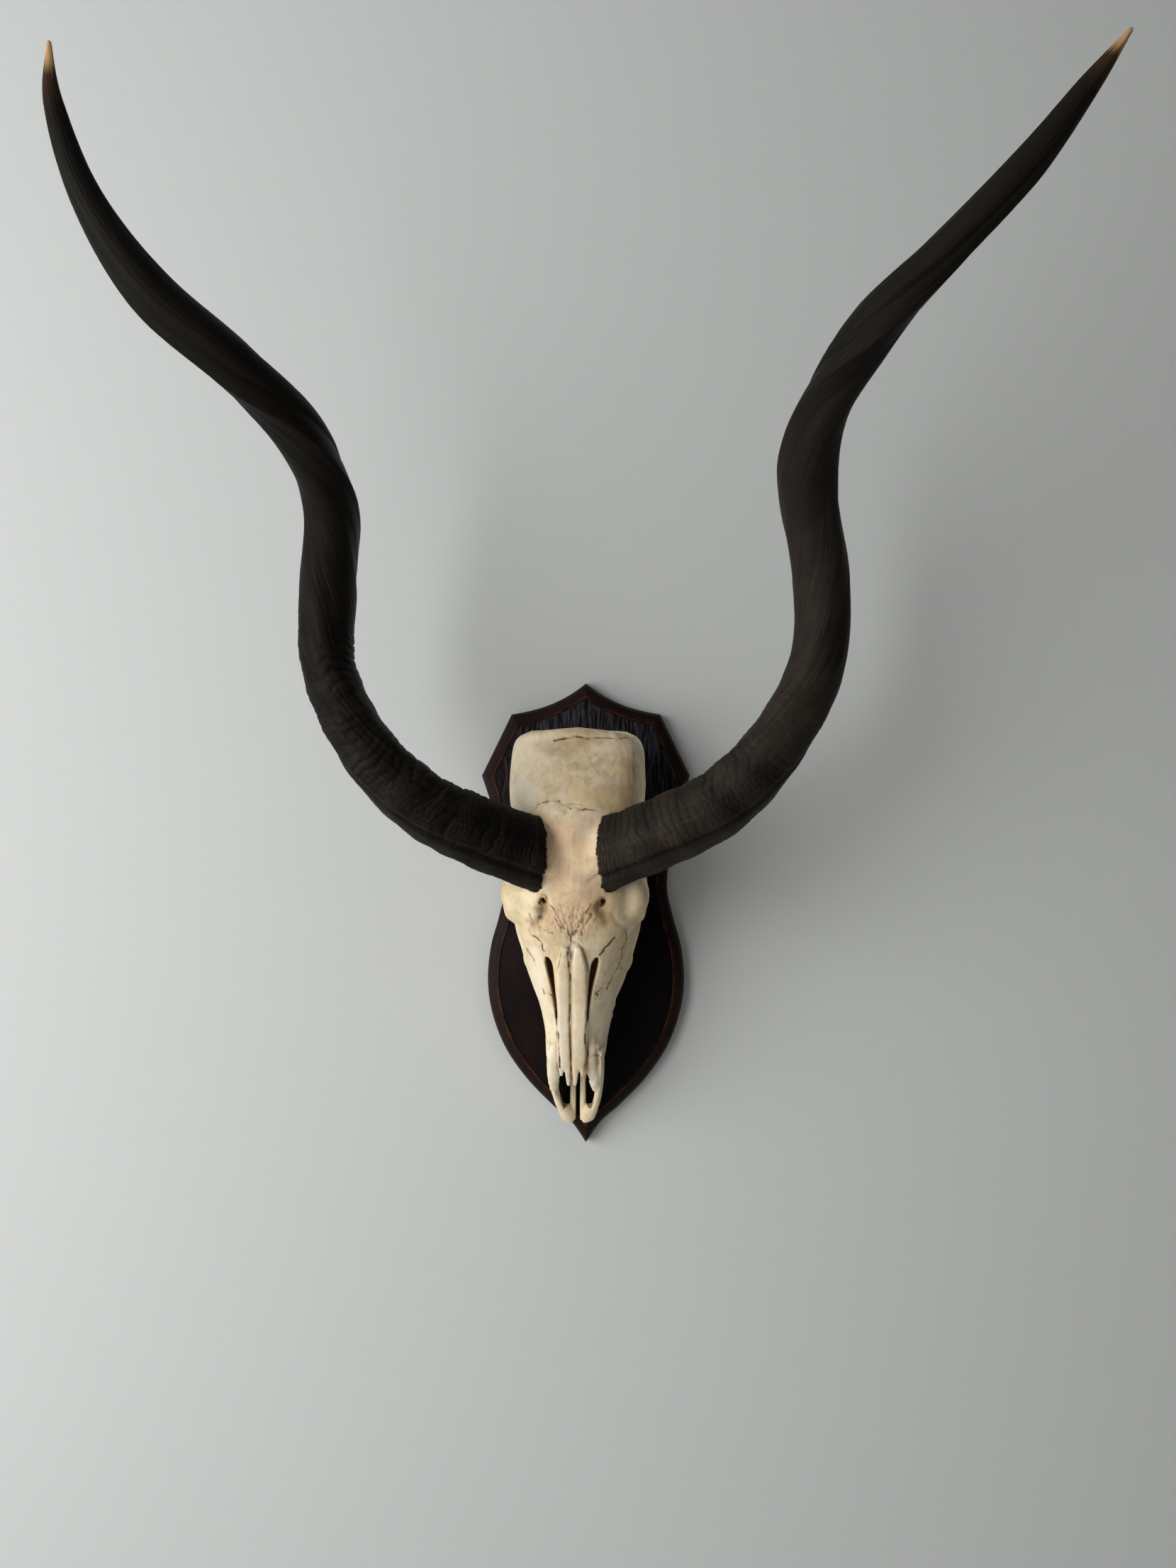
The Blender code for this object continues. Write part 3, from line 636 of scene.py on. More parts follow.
def horn_relief(turn, share, length, seed, ringing, ringed_length):
    # Height of growth rings, wrinkles and fibres in millimetres, on a grid of turn in degrees by length.
    place = pattern_place(turn[None, :], length[:, None])
    along = place[..., 2]
    low = 1 - ease(ringed_length / 2, ringed_length, along + 30 * noise(place, 60, seed + 9))
    warp = noise(place * [1, 1, 0.5], 30, seed) * 12 + noise(place, 11, seed + 1) * 3.4
    small_warp = noise(place * [1, 1, 0.7], 20, seed + 6) * 7 + noise(place, 6, seed + 7) * 1.6
    strong = 0.15 + 0.85 * ease(-0.45, 0.45, noise(place * [1, 1, 1.6], 24, seed + 8))
    away = from_keel(turn)[None, :] + noise(place, 40, seed + 13) * 10
    ringed = 0.22 + 0.78 * np.maximum(ease(-38, -64, away), ease(52, 78, away))
    rings = creases((along + warp) / 10.0, 2.2) * ringing * strong * ringed
    wrinkles = creases((along + small_warp) / 4.4, 1.7) * 0.75 * (1.25 - strong) * ringed
    broad = np.sin((along + noise(place, 70, seed + 5) * 16) / 37 * 2 * np.pi) * 0.55
    lines = place * [1, 1, 0.035]
    fibre = -np.maximum(noise(lines, 2.6, seed + 3), 0.15) * 0.5
    fibre = fibre + noise(lines * [1, 1, 2], 1.5, seed + 10) * 0.16
    grit = noise(place * [1, 1, 2.2], 3.4, seed + 2) * 0.16 * (0.5 + low)
    lump = noise(place * [1, 1, 0.45], 36, seed + 4) * 1.0 * (1 - 0.7 * ease(0.6, 0.9, share)[:, None])
    taper = 1 - 0.8 * ease(0.85, 1.0, share)[:, None]
    return ((rings + wrinkles + broad) * low + fibre * (0.6 + 0.5 * (1 - low)) + grit + lump) * taper


def make_horn(name, stations, outward, seed, ringing, ringed_length):
    last = len(stations) - 1
    at = np.linspace(0, 1, HORN_RINGS) ** 1.35 * last
    turn, centre, run, way, rings = horn_surface(stations, outward, at, HORN_SIDES)
    away = from_keel(turn)
    length = travel(centre)
    relief = horn_relief(turn, at / last, length, seed, ringing, ringed_length)
    rings = rings + way * (relief * ease(0, 2.5, length)[:, None] - 0.3)[..., None]
    # Ragged lip: it reaches further down under the keel, and its edge turns in and up inside the sheath.
    hem = pattern_place(turn, 0)
    ragged = noise(hem, 7.0, seed + 11) * 1.5 + noise(hem, 2.2, seed + 12) * 1.5 - 8.0 * bell(away / 20)
    rings = rings + run[0] * ragged[None, :, None] * np.exp(-length / 14)[:, None, None]
    middle = rings[0].mean(0)
    lip = [middle + (rings[0] - middle) * size + run[0] * reach for reach, size in HORN_LIP]
    rings = np.concatenate([lip, rings])
    ends = [rings[0].mean(0), centre[-1] + run[-1] * 1.6]
    faces = tube_faces(len(rings), HORN_SIDES)
    if outward > 0:
        faces = [face[::-1] for face in faces]
    item = mesh_object(name, np.concatenate([rings.reshape(-1, 3), ends]) * MM, faces)
    # Attributes for the material: a value for each ring and turn, then one for each of the two end points
    inside = len(lip)
    reach = np.concatenate([np.zeros(inside), length])[:, None]
    full = length[-1]
    for attribute, values, end_values in (
            ("run", reach * MM, (0, full * MM)),
            ("to_tip", (full - reach) * MM, (full * MM, 0)),
            ("relief", np.concatenate([np.zeros((inside, HORN_SIDES)), relief]), (0, 0)),
            ("keel", bell(away / 16), (0, 0)),
            ("groove", bell((away + 48) / 7), (0, 0))):
        spread = np.broadcast_to(values, (len(rings), HORN_SIDES))
        set_attribute(item.data, attribute, np.append(spread, end_values))
    grain = np.concatenate([pattern_place(turn[None, :], reach).reshape(-1, 3), [[0, 0, 0], [0, 0, full]]])
    set_attribute(item.data, "grain", grain * MM, "FLOAT_VECTOR")
    return item


# Shield

def shield_runs():
    # The right half's three runs between corners: crest, ear and flank, each from its upper end down.
    t = np.linspace(0, 1, 29)[:, None]
    sag = t * (1 - t) * (CREST_SAG + CREST_SWAY * (1 - 2 * t))
    crest = np.hstack([SHOULDER[0] * t, APEX[1] + (SHOULDER[1] - APEX[1]) * t - sag])
    ear = np.array(SHOULDER) + (np.array(EAR) - np.array(SHOULDER)) * np.linspace(0, 1, 21)[:, None]
    flank = spline(FLANK, np.linspace(0, len(FLANK) - 1, (len(FLANK) - 1) * 9 + 1))
    lead = np.array(EAR) + (np.array(FLANK[0]) - np.array(EAR)) * (np.arange(8)[:, None] / 8)
    return [crest, ear, np.concatenate([lead, flank])]


def meeting(a, b):
    # Where two lines of points first cross: the point and the number of the segment on each.
    for i in range(len(a) - 1, 0, -1):
        p = a[i - 1]
        r = a[i] - p
        q = b[:-1]
        s = b[1:] - q
        cross = r[0] * s[:, 1] - r[1] * s[:, 0]
        cross = np.where(np.abs(cross) < 1e-9, 1e-9, cross)
        gap = q - p
        t = (gap[:, 0] * s[:, 1] - gap[:, 1] * s[:, 0]) / cross
        u = (gap[:, 0] * r[1] - gap[:, 1] * r[0]) / cross
        hit = np.where((t >= 0) & (t <= 1) & (u >= 0) & (u <= 1))[0]
        if len(hit):
            return p + r * t[hit[0]], i, hit[0]
    raise ValueError("the runs of the outline don't meet")


def inset_outline(distance):
    # The whole outline moved in by a distance, with the runs cut where they meet and then evened out.
    middle = np.array([[0.0, 400.0], [0.0, -400.0]])
    lines = [middle]
    runs = shield_runs()
    for run in runs:
        way = unit(np.gradient(run, axis=0))
        line = run + np.stack([way[:, 1], -way[:, 0]], axis=-1) * distance
        lines.append(np.concatenate([line[:1] - way[:1] * 30, line, line[-1:] + way[-1:] * 30]))
    lines.append(middle)
    points = []
    for number, run in enumerate(runs, 1):
        line = lines[number]
        start, unused, first = meeting(lines[number - 1], line)
        end, last, unused = meeting(line, lines[number + 1])
        kept = np.concatenate([[start], line[first + 1:last], [end]])
        even = travel(run) / travel(run)[-1] * travel(kept)[-1]
        row = np.stack([np.interp(even, travel(kept), kept[:, axis]) for axis in (0, 1)], axis=-1)
        points.append(row if number == len(runs) else row[:-1])
    half = np.concatenate(points)
    return np.concatenate([half, half[-2:0:-1] * [-1, 1]])


def make_shield():
    rings = []
    reaches = []
    for reach, height in [(BACK_EDGE, 0.0)] + MOULDING:
        flat = inset_outline(reach)
        count = len(flat)
        ring = np.insert(flat, 1, -height, axis=1)
        # Small dents in the moulding.
        if 0.0 < height < DENTED_BELOW:
            ring[:, 1] += 0.25 * ease(0.45, 0.9, noise(np.insert(flat, 2, height, axis=1), 11, 71))
        rings.append(ring)
        reaches += [reach] * count
    total = len(rings) * count
    faces = ring_faces(len(rings), count).tolist()
    faces += [list(range(total - count, total)), list(range(count))[::-1]]
    item = mesh_object("shield_board", np.concatenate(rings) * MM, [face[::-1] for face in faces])
    set_attribute(item.data, "reach", np.array(reaches) * MM)
    return item


def level_ring(x, z, depth, radius, sides):
    # A ring around an axis square to the wall, at a depth from it; the radius may differ around it.
    angle = circle(sides)
    return np.stack([x + radius * np.cos(angle), np.full(sides, -depth), z + radius * np.sin(angle)], axis=-1)


def drill(item):
    # The holes for the two screws, countersunk from behind.
    sides = 40
    for x, z in SCREWS.values():
        rings = [level_ring(x, z, depth, radius, sides) for depth, radius in SCREW_HOLE]
        count = len(rings) * sides
        faces = ring_faces(len(rings), sides).tolist()
        faces += [list(range(sides))[::-1], list(range(count - sides, count))]
        cut_away(item, mesh_object("hole", np.concatenate(rings) * MM, faces))
        # The cut leaves the hole's edge without a distance from the board's rim.
        for reach, spot in zip(item.data.attributes["reach"].data, item.data.vertices):
            if math.hypot(spot.co.x / MM - x, spot.co.z / MM - z) < HOLE_EDGE:
                reach.value = MOULDING[-1][0] * MM
    item.data.set_sharp_from_angle(angle=math.radians(SHARP_EDGE_DEGREES))


def make_screw(name, x, z):
    sides = 48
    rings = [level_ring(x, z, depth, radius, sides) for depth, radius in SCREW_HEAD]
    for depth in np.linspace(4.6, SCREW_LENGTH - 0.2, 190):
        phase = (depth / SCREW_PITCH + circle(sides) / (2 * np.pi)) % 1
        thread = bell((phase - 0.5) / 0.16) * SCREW_THREAD * ease(14, 17, depth)
        shank = SCREW_SHANK + SCREW_NECK * (1 - ease(12, 15, depth))
        point = 1 - ease(SCREW_LENGTH - 9, SCREW_LENGTH, depth) * 0.92
        rings.append(level_ring(x, z, depth, (shank + thread) * point, sides))
    points = np.concatenate(rings + [[[x, -SCREW_HEAD[0][0], z]], [[x, -SCREW_LENGTH, z]]])
    item = mesh_object(name, points * MM, tube_faces(len(rings), sides))
    # Cross-shaped drive in the head.
    for turned in (DRIVE_TURN, DRIVE_TURN + math.pi / 2):
        bpy.ops.mesh.primitive_cube_add(size=1)
        tool = bpy.context.object
        tool.scale = [length * MM for length in DRIVE]
        tool.rotation_euler = (0, turned, 0)
        tool.location = (x * MM, -SCREW_HEAD[0][0] * MM, z * MM)
        cut_away(item, tool)
    return item


# Materials

class Nodes:
    # Short calls for building one material.
    def __init__(self, name):
        self.material = bpy.data.materials.new(name)
        self.material.use_nodes = True
        self.tree = self.material.node_tree
        self.tree.nodes.clear()
        self.output = self.tree.nodes.new("ShaderNodeOutputMaterial")

    def put(self, socket, value):
        if hasattr(value, "is_output"):
            self.tree.links.new(value, socket)
        elif isinstance(value, tuple):
            socket.default_value = value + ((1.0,) if len(value) == 3 and socket.type == "RGBA" else ())
        else:
            socket.default_value = value

    def new(self, kind, inputs, **settings):
        node = self.tree.nodes.new("ShaderNode" + kind)
        for name, value in settings.items():
            setattr(node, name, value)
        for name, value in inputs.items():
            self.put(node.inputs[name], value)
        return node

    def place(self):
        return self.new("TexCoord", {}).outputs["Object"]

    def attribute(self, name, output="Fac"):
        return self.new("Attribute", {}, attribute_name=name).outputs[output]

    def stretch(self, vector, scale):
        return self.new("Mapping", {"Vector": vector, "Scale": scale}).outputs["Vector"]

    def noise(self, vector, scale, detail=3.0, rough=0.55, twist=0.0):
        inputs = {"Vector": vector, "Scale": scale, "Detail": detail, "Roughness": rough, "Distortion": twist}
        return self.new("TexNoise", inputs).outputs["Fac"]

    def step(self, value, low, high, start=0.0, end=1.0):
        inputs = {0: value, 1: low, 2: high, 3: start, 4: end}
        return self.new("MapRange", inputs, interpolation_type="SMOOTHSTEP").outputs[0]

    def math(self, kind, a, b):
        return self.new("Math", {0: a, 1: b}, operation=kind).outputs[0]

    def times(self, a, b):
        return self.math("MULTIPLY", a, b)

    def total(self, rows):
        # Sum of values, each after its weight.
        total = None
        for weight, value in rows:
            part = self.times(value, weight)
            total = part if total is None else self.math("ADD", total, part)
        return total

    def mix(self, share, a, b):
        return self.new("Mix", {0: share, 6: a, 7: b}, data_type="RGBA").outputs[2]

    def layers(self, colour, rows):
        # Lays tones over a colour, each with its strength and the places where it shows.
        for strength, share, tone in rows:
            if strength < 1:
                share = self.times(share, strength)
            colour = self.mix(share, colour, tone)
        return colour

    def bump(self, height, distance, strength):
        inputs = {"Height": height, "Distance": distance, "Strength": strength}
        return self.new("Bump", inputs).outputs["Normal"]

    def finish(self, **inputs):
        shader = self.new("BsdfPrincipled", {name.replace("_", " "): value for name, value in inputs.items()})
        self.tree.links.new(shader.outputs[0], self.output.inputs[0])
        return self.material


def bone_material():
    g = Nodes("bone")
    place = g.place()
    stain = g.attribute("stain")
    brow = g.attribute("brow")
    enamel = g.attribute("enamel")
    clouds = g.noise(place, 24.0, 5.0, 0.6)
    blotch = g.noise(place, 70.0, 5.0, 0.65, 0.6)
    streak = g.noise(g.stretch(place, (1, 1, 0.18)), 260.0, 4.0, 0.6)
    speck = g.noise(place, 900.0, 2.0, 0.6)
    crease = g.noise(g.stretch(place, (1, 1, 0.22)), 380.0, 4.0, 0.65, 0.5)
    fleck = g.noise(g.stretch(place, (1, 1, 0.5)), 420.0, 5.0, 0.7)
    ribs = g.noise(g.stretch(place, (1, 0.12, 1)), 520.0, 4.0, 0.6)
    uneven = g.math("ADD", stain, g.times(g.math("SUBTRACT", blotch, 0.5), g.times(stain, 1.2)))
    colour = g.mix(g.step(clouds, 0.38, 0.62), (0.82, 0.69, 0.465), (0.67, 0.53, 0.325))
    colour = g.layers(colour, [
        (1.0, g.attribute("warm"), (0.74, 0.52, 0.33)),
        (0.75, g.attribute("ochre"), (0.62, 0.42, 0.19)),
        # Greyer mottled patches: dust, and along the top of the cranium painted shade.
        (0.75, g.times(g.attribute("dust"), g.step(blotch, 0.36, 0.62)), (0.40, 0.32, 0.225)),
        (0.45, g.step(blotch, 0.52, 0.72), (0.40, 0.30, 0.18)),
        (0.35, g.step(streak, 0.52, 0.72), (0.44, 0.33, 0.20)),
        (1.0, g.attribute("pale"), (0.86, 0.78, 0.63)),
        (0.25, g.step(speck, 0.62, 0.8), (0.30, 0.22, 0.14)),
        (1.0, g.times(brow, g.step(crease, 0.52, 0.62)), (0.30, 0.19, 0.095)),
        (0.5, g.step(fleck, 0.60, 0.70), (0.27, 0.185, 0.11)),
        # Recesses darkened: dirt, and painted shade.
        (0.5, g.attribute("shelter"), (0.34, 0.215, 0.105)),
        (1.0, g.step(uneven, 0.08, 0.75), (0.13, 0.068, 0.034)),
        (0.6, enamel, (0.62, 0.51, 0.33)),
        (1.0, g.times(enamel, g.step(ribs, 0.50, 0.64)), (0.20, 0.115, 0.055)),
        # Insides of the hollows darkened: painted shade.
        (1.0, g.attribute("pit"), (0.085, 0.034, 0.014)),
    ])
    cells = g.new("TexVoronoi", {"Vector": place, "Scale": 1500.0}).outputs["Distance"]
    height = g.total([(0.35, g.step(cells, 0.05, 0.35)), (0.5, streak), (0.6, blotch),
                      (-3.0, g.times(brow, crease))])
    return g.finish(Base_Color=colour, Roughness=g.step(clouds, 0.3, 0.7, 0.5, 0.68),
                    Normal=g.bump(height, 0.0003, 0.55), Subsurface_Weight=0.12,
                    Subsurface_Radius=(0.004, 0.002, 0.001), Subsurface_Scale=1.0, Specular_IOR_Level=0.35)


def horn_material(name, tone, grey, light):
    g = Nodes(name)
    grain = g.attribute("grain", "Vector")
    relief = g.attribute("relief")
    run = g.attribute("run")
    fibre = g.noise(g.stretch(grain, (1, 1, 0.035)), 420.0, 4.0, 0.65)
    wide = g.noise(g.stretch(grain, (1, 1, 0.12)), 90.0, 4.0, 0.6, 0.4)
    cloud = g.noise(grain, 22.0, 5.0, 0.6)
    scuff_and_highlight = g.noise(grain, 160.0, 6.0, 0.7)
    lichen = g.times(g.step(g.noise(grain, 60.0, 6.0, 0.75), 0.69, 0.74), g.step(run, 0.25, 0.12))
    to_tip = g.math("ADD", g.attribute("to_tip"), g.times(g.math("SUBTRACT", wide, 0.5), 0.03))
    # Near-black for the grooves: painted shade.
    groove_shade = (0.0018, 0.0015, 0.0012)
    colour = g.layers(g.mix(g.step(cloud, 0.35, 0.7), tone, grey), [
        (0.4, g.step(fibre, 0.5, 0.75), light),
        (0.2, g.step(wide, 0.55, 0.8), light),
        # Ridges of the growth rings lighter where scuffed: a painted highlight on the ridges, with wear.
        (0.55, g.times(g.step(relief, 0.1, 1.3), g.step(scuff_and_highlight, 0.30, 0.70)), light),
        # Grooves of the growth rings darkened: painted shade.
        (0.7, g.step(relief, 0.0, -1.2), groove_shade),
        (0.15, g.times(g.attribute("keel"), g.step(scuff_and_highlight, 0.45, 0.75)), (0.12, 0.08, 0.05)),
        # A dark line along the groove beside the keel: painted shade.
        (0.6, g.attribute("groove"), groove_shade),
        (0.6, lichen, (0.20, 0.19, 0.14)),
    ])
    # The upper half is darker and smoother, up to the amber tip.
    colour = g.layers(colour, [
        (1.0, g.step(run, 0.25, 0.60, 0.0, 0.75), (0.0065, 0.0055, 0.0045)),
        (1.0, g.step(to_tip, 0.055, 0.015, 0.0, 0.5), (0.09, 0.042, 0.018)),
        (1.0, g.step(to_tip, 0.024, 0.008), (0.58, 0.36, 0.17)),
    ])
    height = g.total([(0.6, fibre), (0.5, scuff_and_highlight), (0.8, wide)])
    return g.finish(Base_Color=colour, Roughness=g.step(wide, 0.3, 0.75, 0.46, 0.66),
                    Normal=g.bump(height, 0.0009, 1.0), Specular_IOR_Level=0.08)


def oak_material():
    g = Nodes("stained_oak")
    place = g.place()
    reach = g.attribute("reach")
    x, y, z = g.new("SeparateXYZ", {"Vector": place}).outputs
    warped = g.math("ADD", x, g.times(g.noise(place, 14.0, 3.0), 0.012))
    shifted = g.new("CombineXYZ", {"X": warped, "Y": y, "Z": z}).outputs[0]
    grain = g.noise(g.stretch(shifted, (1, 1, 0.06)), 620.0, 4.0, 0.7)
    pores = g.noise(g.stretch(shifted, (1, 1, 0.035)), 1100.0, 3.0, 0.6)
    figure = g.noise(g.stretch(shifted, (1, 1, 0.10)), 60.0, 4.0, 0.6)
    patch = g.noise(place, 12.0, 3.0, 0.5)
    panel = g.step(reach, 0.0125, 0.0142)
    left = g.times(g.step(x, 0.0, -0.09), g.step(patch, 0.3, 0.65))
    dark = g.mix(g.step(figure, 0.35, 0.7), (0.0012, 0.0008, 0.0009), (0.0026, 0.0014, 0.0015))
    dark = g.layers(dark, [
        (0.75, g.step(pores, 0.5, 0.68), (0.0015, 0.001, 0.0015)),
        # Bluish grey streaks on the open grain of the upper panel: a painted reflection of light from above.
        (0.85, g.times(g.step(z, 0.02, 0.19), g.step(grain, 0.44, 0.64)), (0.066, 0.066, 0.080)),
        (0.65, left, (0.017, 0.0052, 0.0064)),
    ])
    rim = g.mix(g.step(patch, 0.35, 0.65), (0.015, 0.0078, 0.0062), (0.0085, 0.0048, 0.0040))
    rim = g.layers(rim, [(0.5, g.step(grain, 0.5, 0.7), (0.032, 0.014, 0.009))])
    # The stain is rubbed thin on the band around the panel and on the outer edge.
    band = g.times(g.step(reach, 0.0098, 0.0112), g.step(reach, 0.0140, 0.0126))
    colour = g.layers(g.mix(panel, rim, dark), [
        (0.85, g.times(band, g.step(g.noise(place, 45.0, 4.0, 0.6), 0.40, 0.62)), (0.060, 0.018, 0.009)),
        (0.5, g.times(g.step(reach, 0.0022, 0.0006), g.step(g.noise(place, 80.0, 4.0, 0.6), 0.5, 0.7)),
         (0.05, 0.028, 0.018)),
    ])
    # The back was never stained, only darkened by age.
    bare = g.mix(g.step(figure, 0.35, 0.7), (0.17, 0.105, 0.060), (0.095, 0.056, 0.033))
    bare = g.layers(bare, [
        (0.7, g.step(pores, 0.5, 0.68), (0.035, 0.020, 0.012)),
        (0.5, g.step(patch, 0.5, 0.75), (0.045, 0.028, 0.019)),
    ])
    colour = g.mix(g.step(y, -0.0012, -0.0004), colour, bare)
    height = g.total([(1.0, grain), (0.8, g.step(pores, 0.66, 0.48))])
    height = g.times(g.times(height, g.step(panel, 0.0, 1.0, 0.2, 1.0)), g.step(z, -0.06, 0.10, 0.3, 1.0))
    return g.finish(Base_Color=colour, Roughness=g.step(panel, 0.0, 1.0, 0.46, 0.42),
                    Normal=g.bump(height, 0.0005, 0.9), Specular_IOR_Level=0.07)


def steel_material():
    g = Nodes("zinc_steel")
    cloud = g.noise(g.place(), 500.0, 4.0, 0.6)
    colour = g.mix(g.step(cloud, 0.35, 0.7), (0.55, 0.53, 0.47), (0.36, 0.34, 0.29))
    return g.finish(Base_Color=colour, Metallic=1.0, Roughness=g.step(cloud, 0.3, 0.7, 0.28, 0.5),
                    Normal=g.bump(cloud, 0.0001, 0.5))


def paint_material(name, colour, one_sided):
    g = Nodes(name)
    place = g.place()
    height = g.total([(1.0, g.noise(place, 320.0, 3.0, 0.5)), (1.5, g.noise(place, 30.0, 2.0, 0.5))])
    g.finish(Base_Color=colour, Roughness=0.75, Normal=g.bump(height, 0.0002, 0.5), Specular_IOR_Level=0.25)
    if one_sided:
        # It can't be seen from behind, so the board's back can.
        face = g.new("NewGeometry", {}).outputs["Backfacing"]
        shader = g.output.inputs[0].links[0].from_socket
        clear = g.new("BsdfTransparent", {}).outputs[0]
        mixer = g.new("MixShader", {0: face, 1: shader, 2: clear})
        g.tree.links.new(mixer.outputs[0], g.output.inputs[0])
    return g.material


# Marks on the skull, read from three close-ups of the photograph: left, top and enlargement of each
TOP_CLOSE = (675, 960, 5.0)
MIDDLE_CLOSE = (700, 1120, 6.5)
LOWER_CLOSE = (680, 1300, 5.0)
# Cracks and seams: points, then width and depth in millimetres, stain, raggedness
MARKS = {
    TOP_CLOSE: [
        ([(530, 428), (560, 418), (600, 412), (650, 402), (690, 396), (740, 405), (790, 411)],
         0.8, 0.7, 1.0, 1.0),
        ([(790, 411), (850, 404), (960, 410), (1090, 404), (1145, 416)], 0.7, 0.4, 0.6, 0.8),
        ([(395, 905), (440, 870), (500, 850), (560, 850), (590, 880), (630, 884), (650, 905), (690, 898),
          (720, 915)], 0.7, 0.4, 0.8, 1.8),
        ([(632, 866), (670, 864), (705, 872), (735, 884)], 0.7, 0.4, 0.8, 1.6),
        ([(720, 912), (790, 910), (870, 926), (960, 935), (1010, 936)], 0.7, 0.4, 0.6, 1.4),
        ([(1095, 480), (1100, 560), (1090, 640)], 0.7, 0.3, 0.5, 1.0),
    ],
    LOWER_CLOSE: [
        ([(605, 215), (612, 300), (622, 380), (625, 470), (622, 560), (618, 700), (622, 850), (628, 1000),
          (632, 1110)], 0.9, 1.0, 0.8, 0.3),
        ([(528, 345), (545, 290), (558, 220), (577, 190), (600, 196)], 0.8, 0.6, 0.5, 0.3),
        ([(612, 190), (640, 150), (675, 150), (706, 185), (722, 240), (740, 300), (752, 352)],
         1.5, 1.1, 0.4, 0.3),
        ([(330, 62), (355, 95), (388, 112), (424, 158), (430, 198), (448, 214)], 0.8, 0.7, 0.8, 1.2),
        ([(312, 190), (345, 240), (366, 270), (360, 290), (380, 314)], 0.8, 0.5, 0.6, 0.8),
        ([(1008, 55), (1020, 92), (1012, 150), (985, 192), (988, 240), (966, 290), (985, 322), (1022, 346)],
         0.8, 0.5, 0.7, 1.0),
        ([(966, 318), (948, 348), (920, 400), (890, 440), (880, 478)], 0.7, 0.4, 0.6, 0.8),
        ([(852, 462), (826, 488), (802, 500), (818, 516), (806, 548)], 0.8, 0.5, 0.7, 1.4),
        ([(428, 474), (440, 508), (468, 500), (494, 526), (498, 572), (510, 604)], 0.8, 0.6, 0.7, 1.2),
        ([(836, 236), (868, 184), (900, 152), (934, 108)], 0.8, 0.7, 0.9, 1.0),
        ([(522, 630), (530, 720), (534, 800), (538, 868), (545, 950), (548, 1030)], 1.0, 1.1, 1.0, 0.4),
        ([(742, 640), (740, 720), (728, 800), (730, 860), (744, 930), (738, 980), (722, 1036)],
         0.9, 1.0, 1.0, 1.2),
        ([(465, 906), (482, 862), (512, 858), (545, 862)], 0.8, 0.5, 0.3, 0.6),
        ([(750, 962), (790, 944), (832, 948), (858, 986)], 0.9, 0.6, 0.4, 0.6),
    ],
    MIDDLE_CLOSE: [
        ([(305, 1100), (318, 1140), (336, 1205)], 0.9, 0.8, 0.5, 0.3),
        ([(720, 1250), (688, 1300), (684, 1350)], 0.8, 0.6, 0.8, 0.8),
        ([(591, 1010), (625, 1120), (655, 1200), (668, 1300)], 0.8, 0.6, 0.6, 1.0),
        ([(487, 1007), (560, 1100), (628, 1250), (660, 1335)], 0.8, 0.6, 0.6, 1.0),
        ([(877, 1007), (800, 1120), (760, 1200), (715, 1300)], 0.8, 0.6, 0.6, 1.0),
        ([(880, 1100), (850, 1150), (800, 1230), (780, 1300)], 0.8, 0.6, 0.6, 1.0),
        ([(400, 1245), (450, 1252), (490, 1275), (525, 1272)], 0.7, 0.4, 0.5, 1.4),
        ([(540, 1010), (580, 1000), (620, 1030)], 0.7, 0.4, 0.4, 1.2),
        ([(715, 1030), (705, 1130), (690, 1300)], 0.8, 0.6, 0.5, 1.0),
        ([(780, 1000), (742, 1110), (699, 1235)], 0.8, 0.6, 0.5, 1.0),
        ([(536, 1137), (580, 1200), (617, 1267)], 0.7, 0.5, 0.5, 1.0),
        ([(830, 1090), (790, 1180), (731, 1284)], 0.7, 0.5, 0.5, 1.0),
        ([(425, 965), (418, 1040), (400, 1120), (370, 1200)], 0.9, 0.5, 0.5, 1.4),
        ([(985, 990), (955, 1050), (930, 1110), (900, 1160)], 0.9, 0.5, 0.5, 1.4),
    ],
}
# Broad hollows and, with a depth below 0, ridges: points, then width and depth in millimetres
FORMS = {
    MIDDLE_CLOSE: [
        ([(440, 965), (425, 1050), (402, 1135), (345, 1215)], 5.5, 2.4),
        ([(985, 985), (950, 1060), (975, 1110), (1015, 1165)], 5.5, 2.4),
        ([(470, 955), (505, 1000), (540, 1060), (545, 1100)], 2.6, -1.0),
        ([(940, 965), (880, 1020), (800, 1085)], 2.6, -0.9),
        ([(520, 430), (580, 560), (610, 700), (560, 850)], 9.0, 1.5),
        ([(185, 1192), (240, 1202), (300, 1160)], 3.0, 1.0),
        ([(1065, 1110), (1110, 1190), (1200, 1232)], 3.0, 1.0),
        ([(700, 1120), (705, 1220), (695, 1330)], 3.0, 0.9),
    ],
    TOP_CLOSE: [
        ([(340, 396), (640, 378), (700, 392), (1130, 382)], 4.0, -0.6),
        ([(520, 470), (640, 480), (760, 470)], 8.0, 1.0),
        ([(700, 600), (800, 700), (780, 800)], 14.0, -1.2),
    ],
}
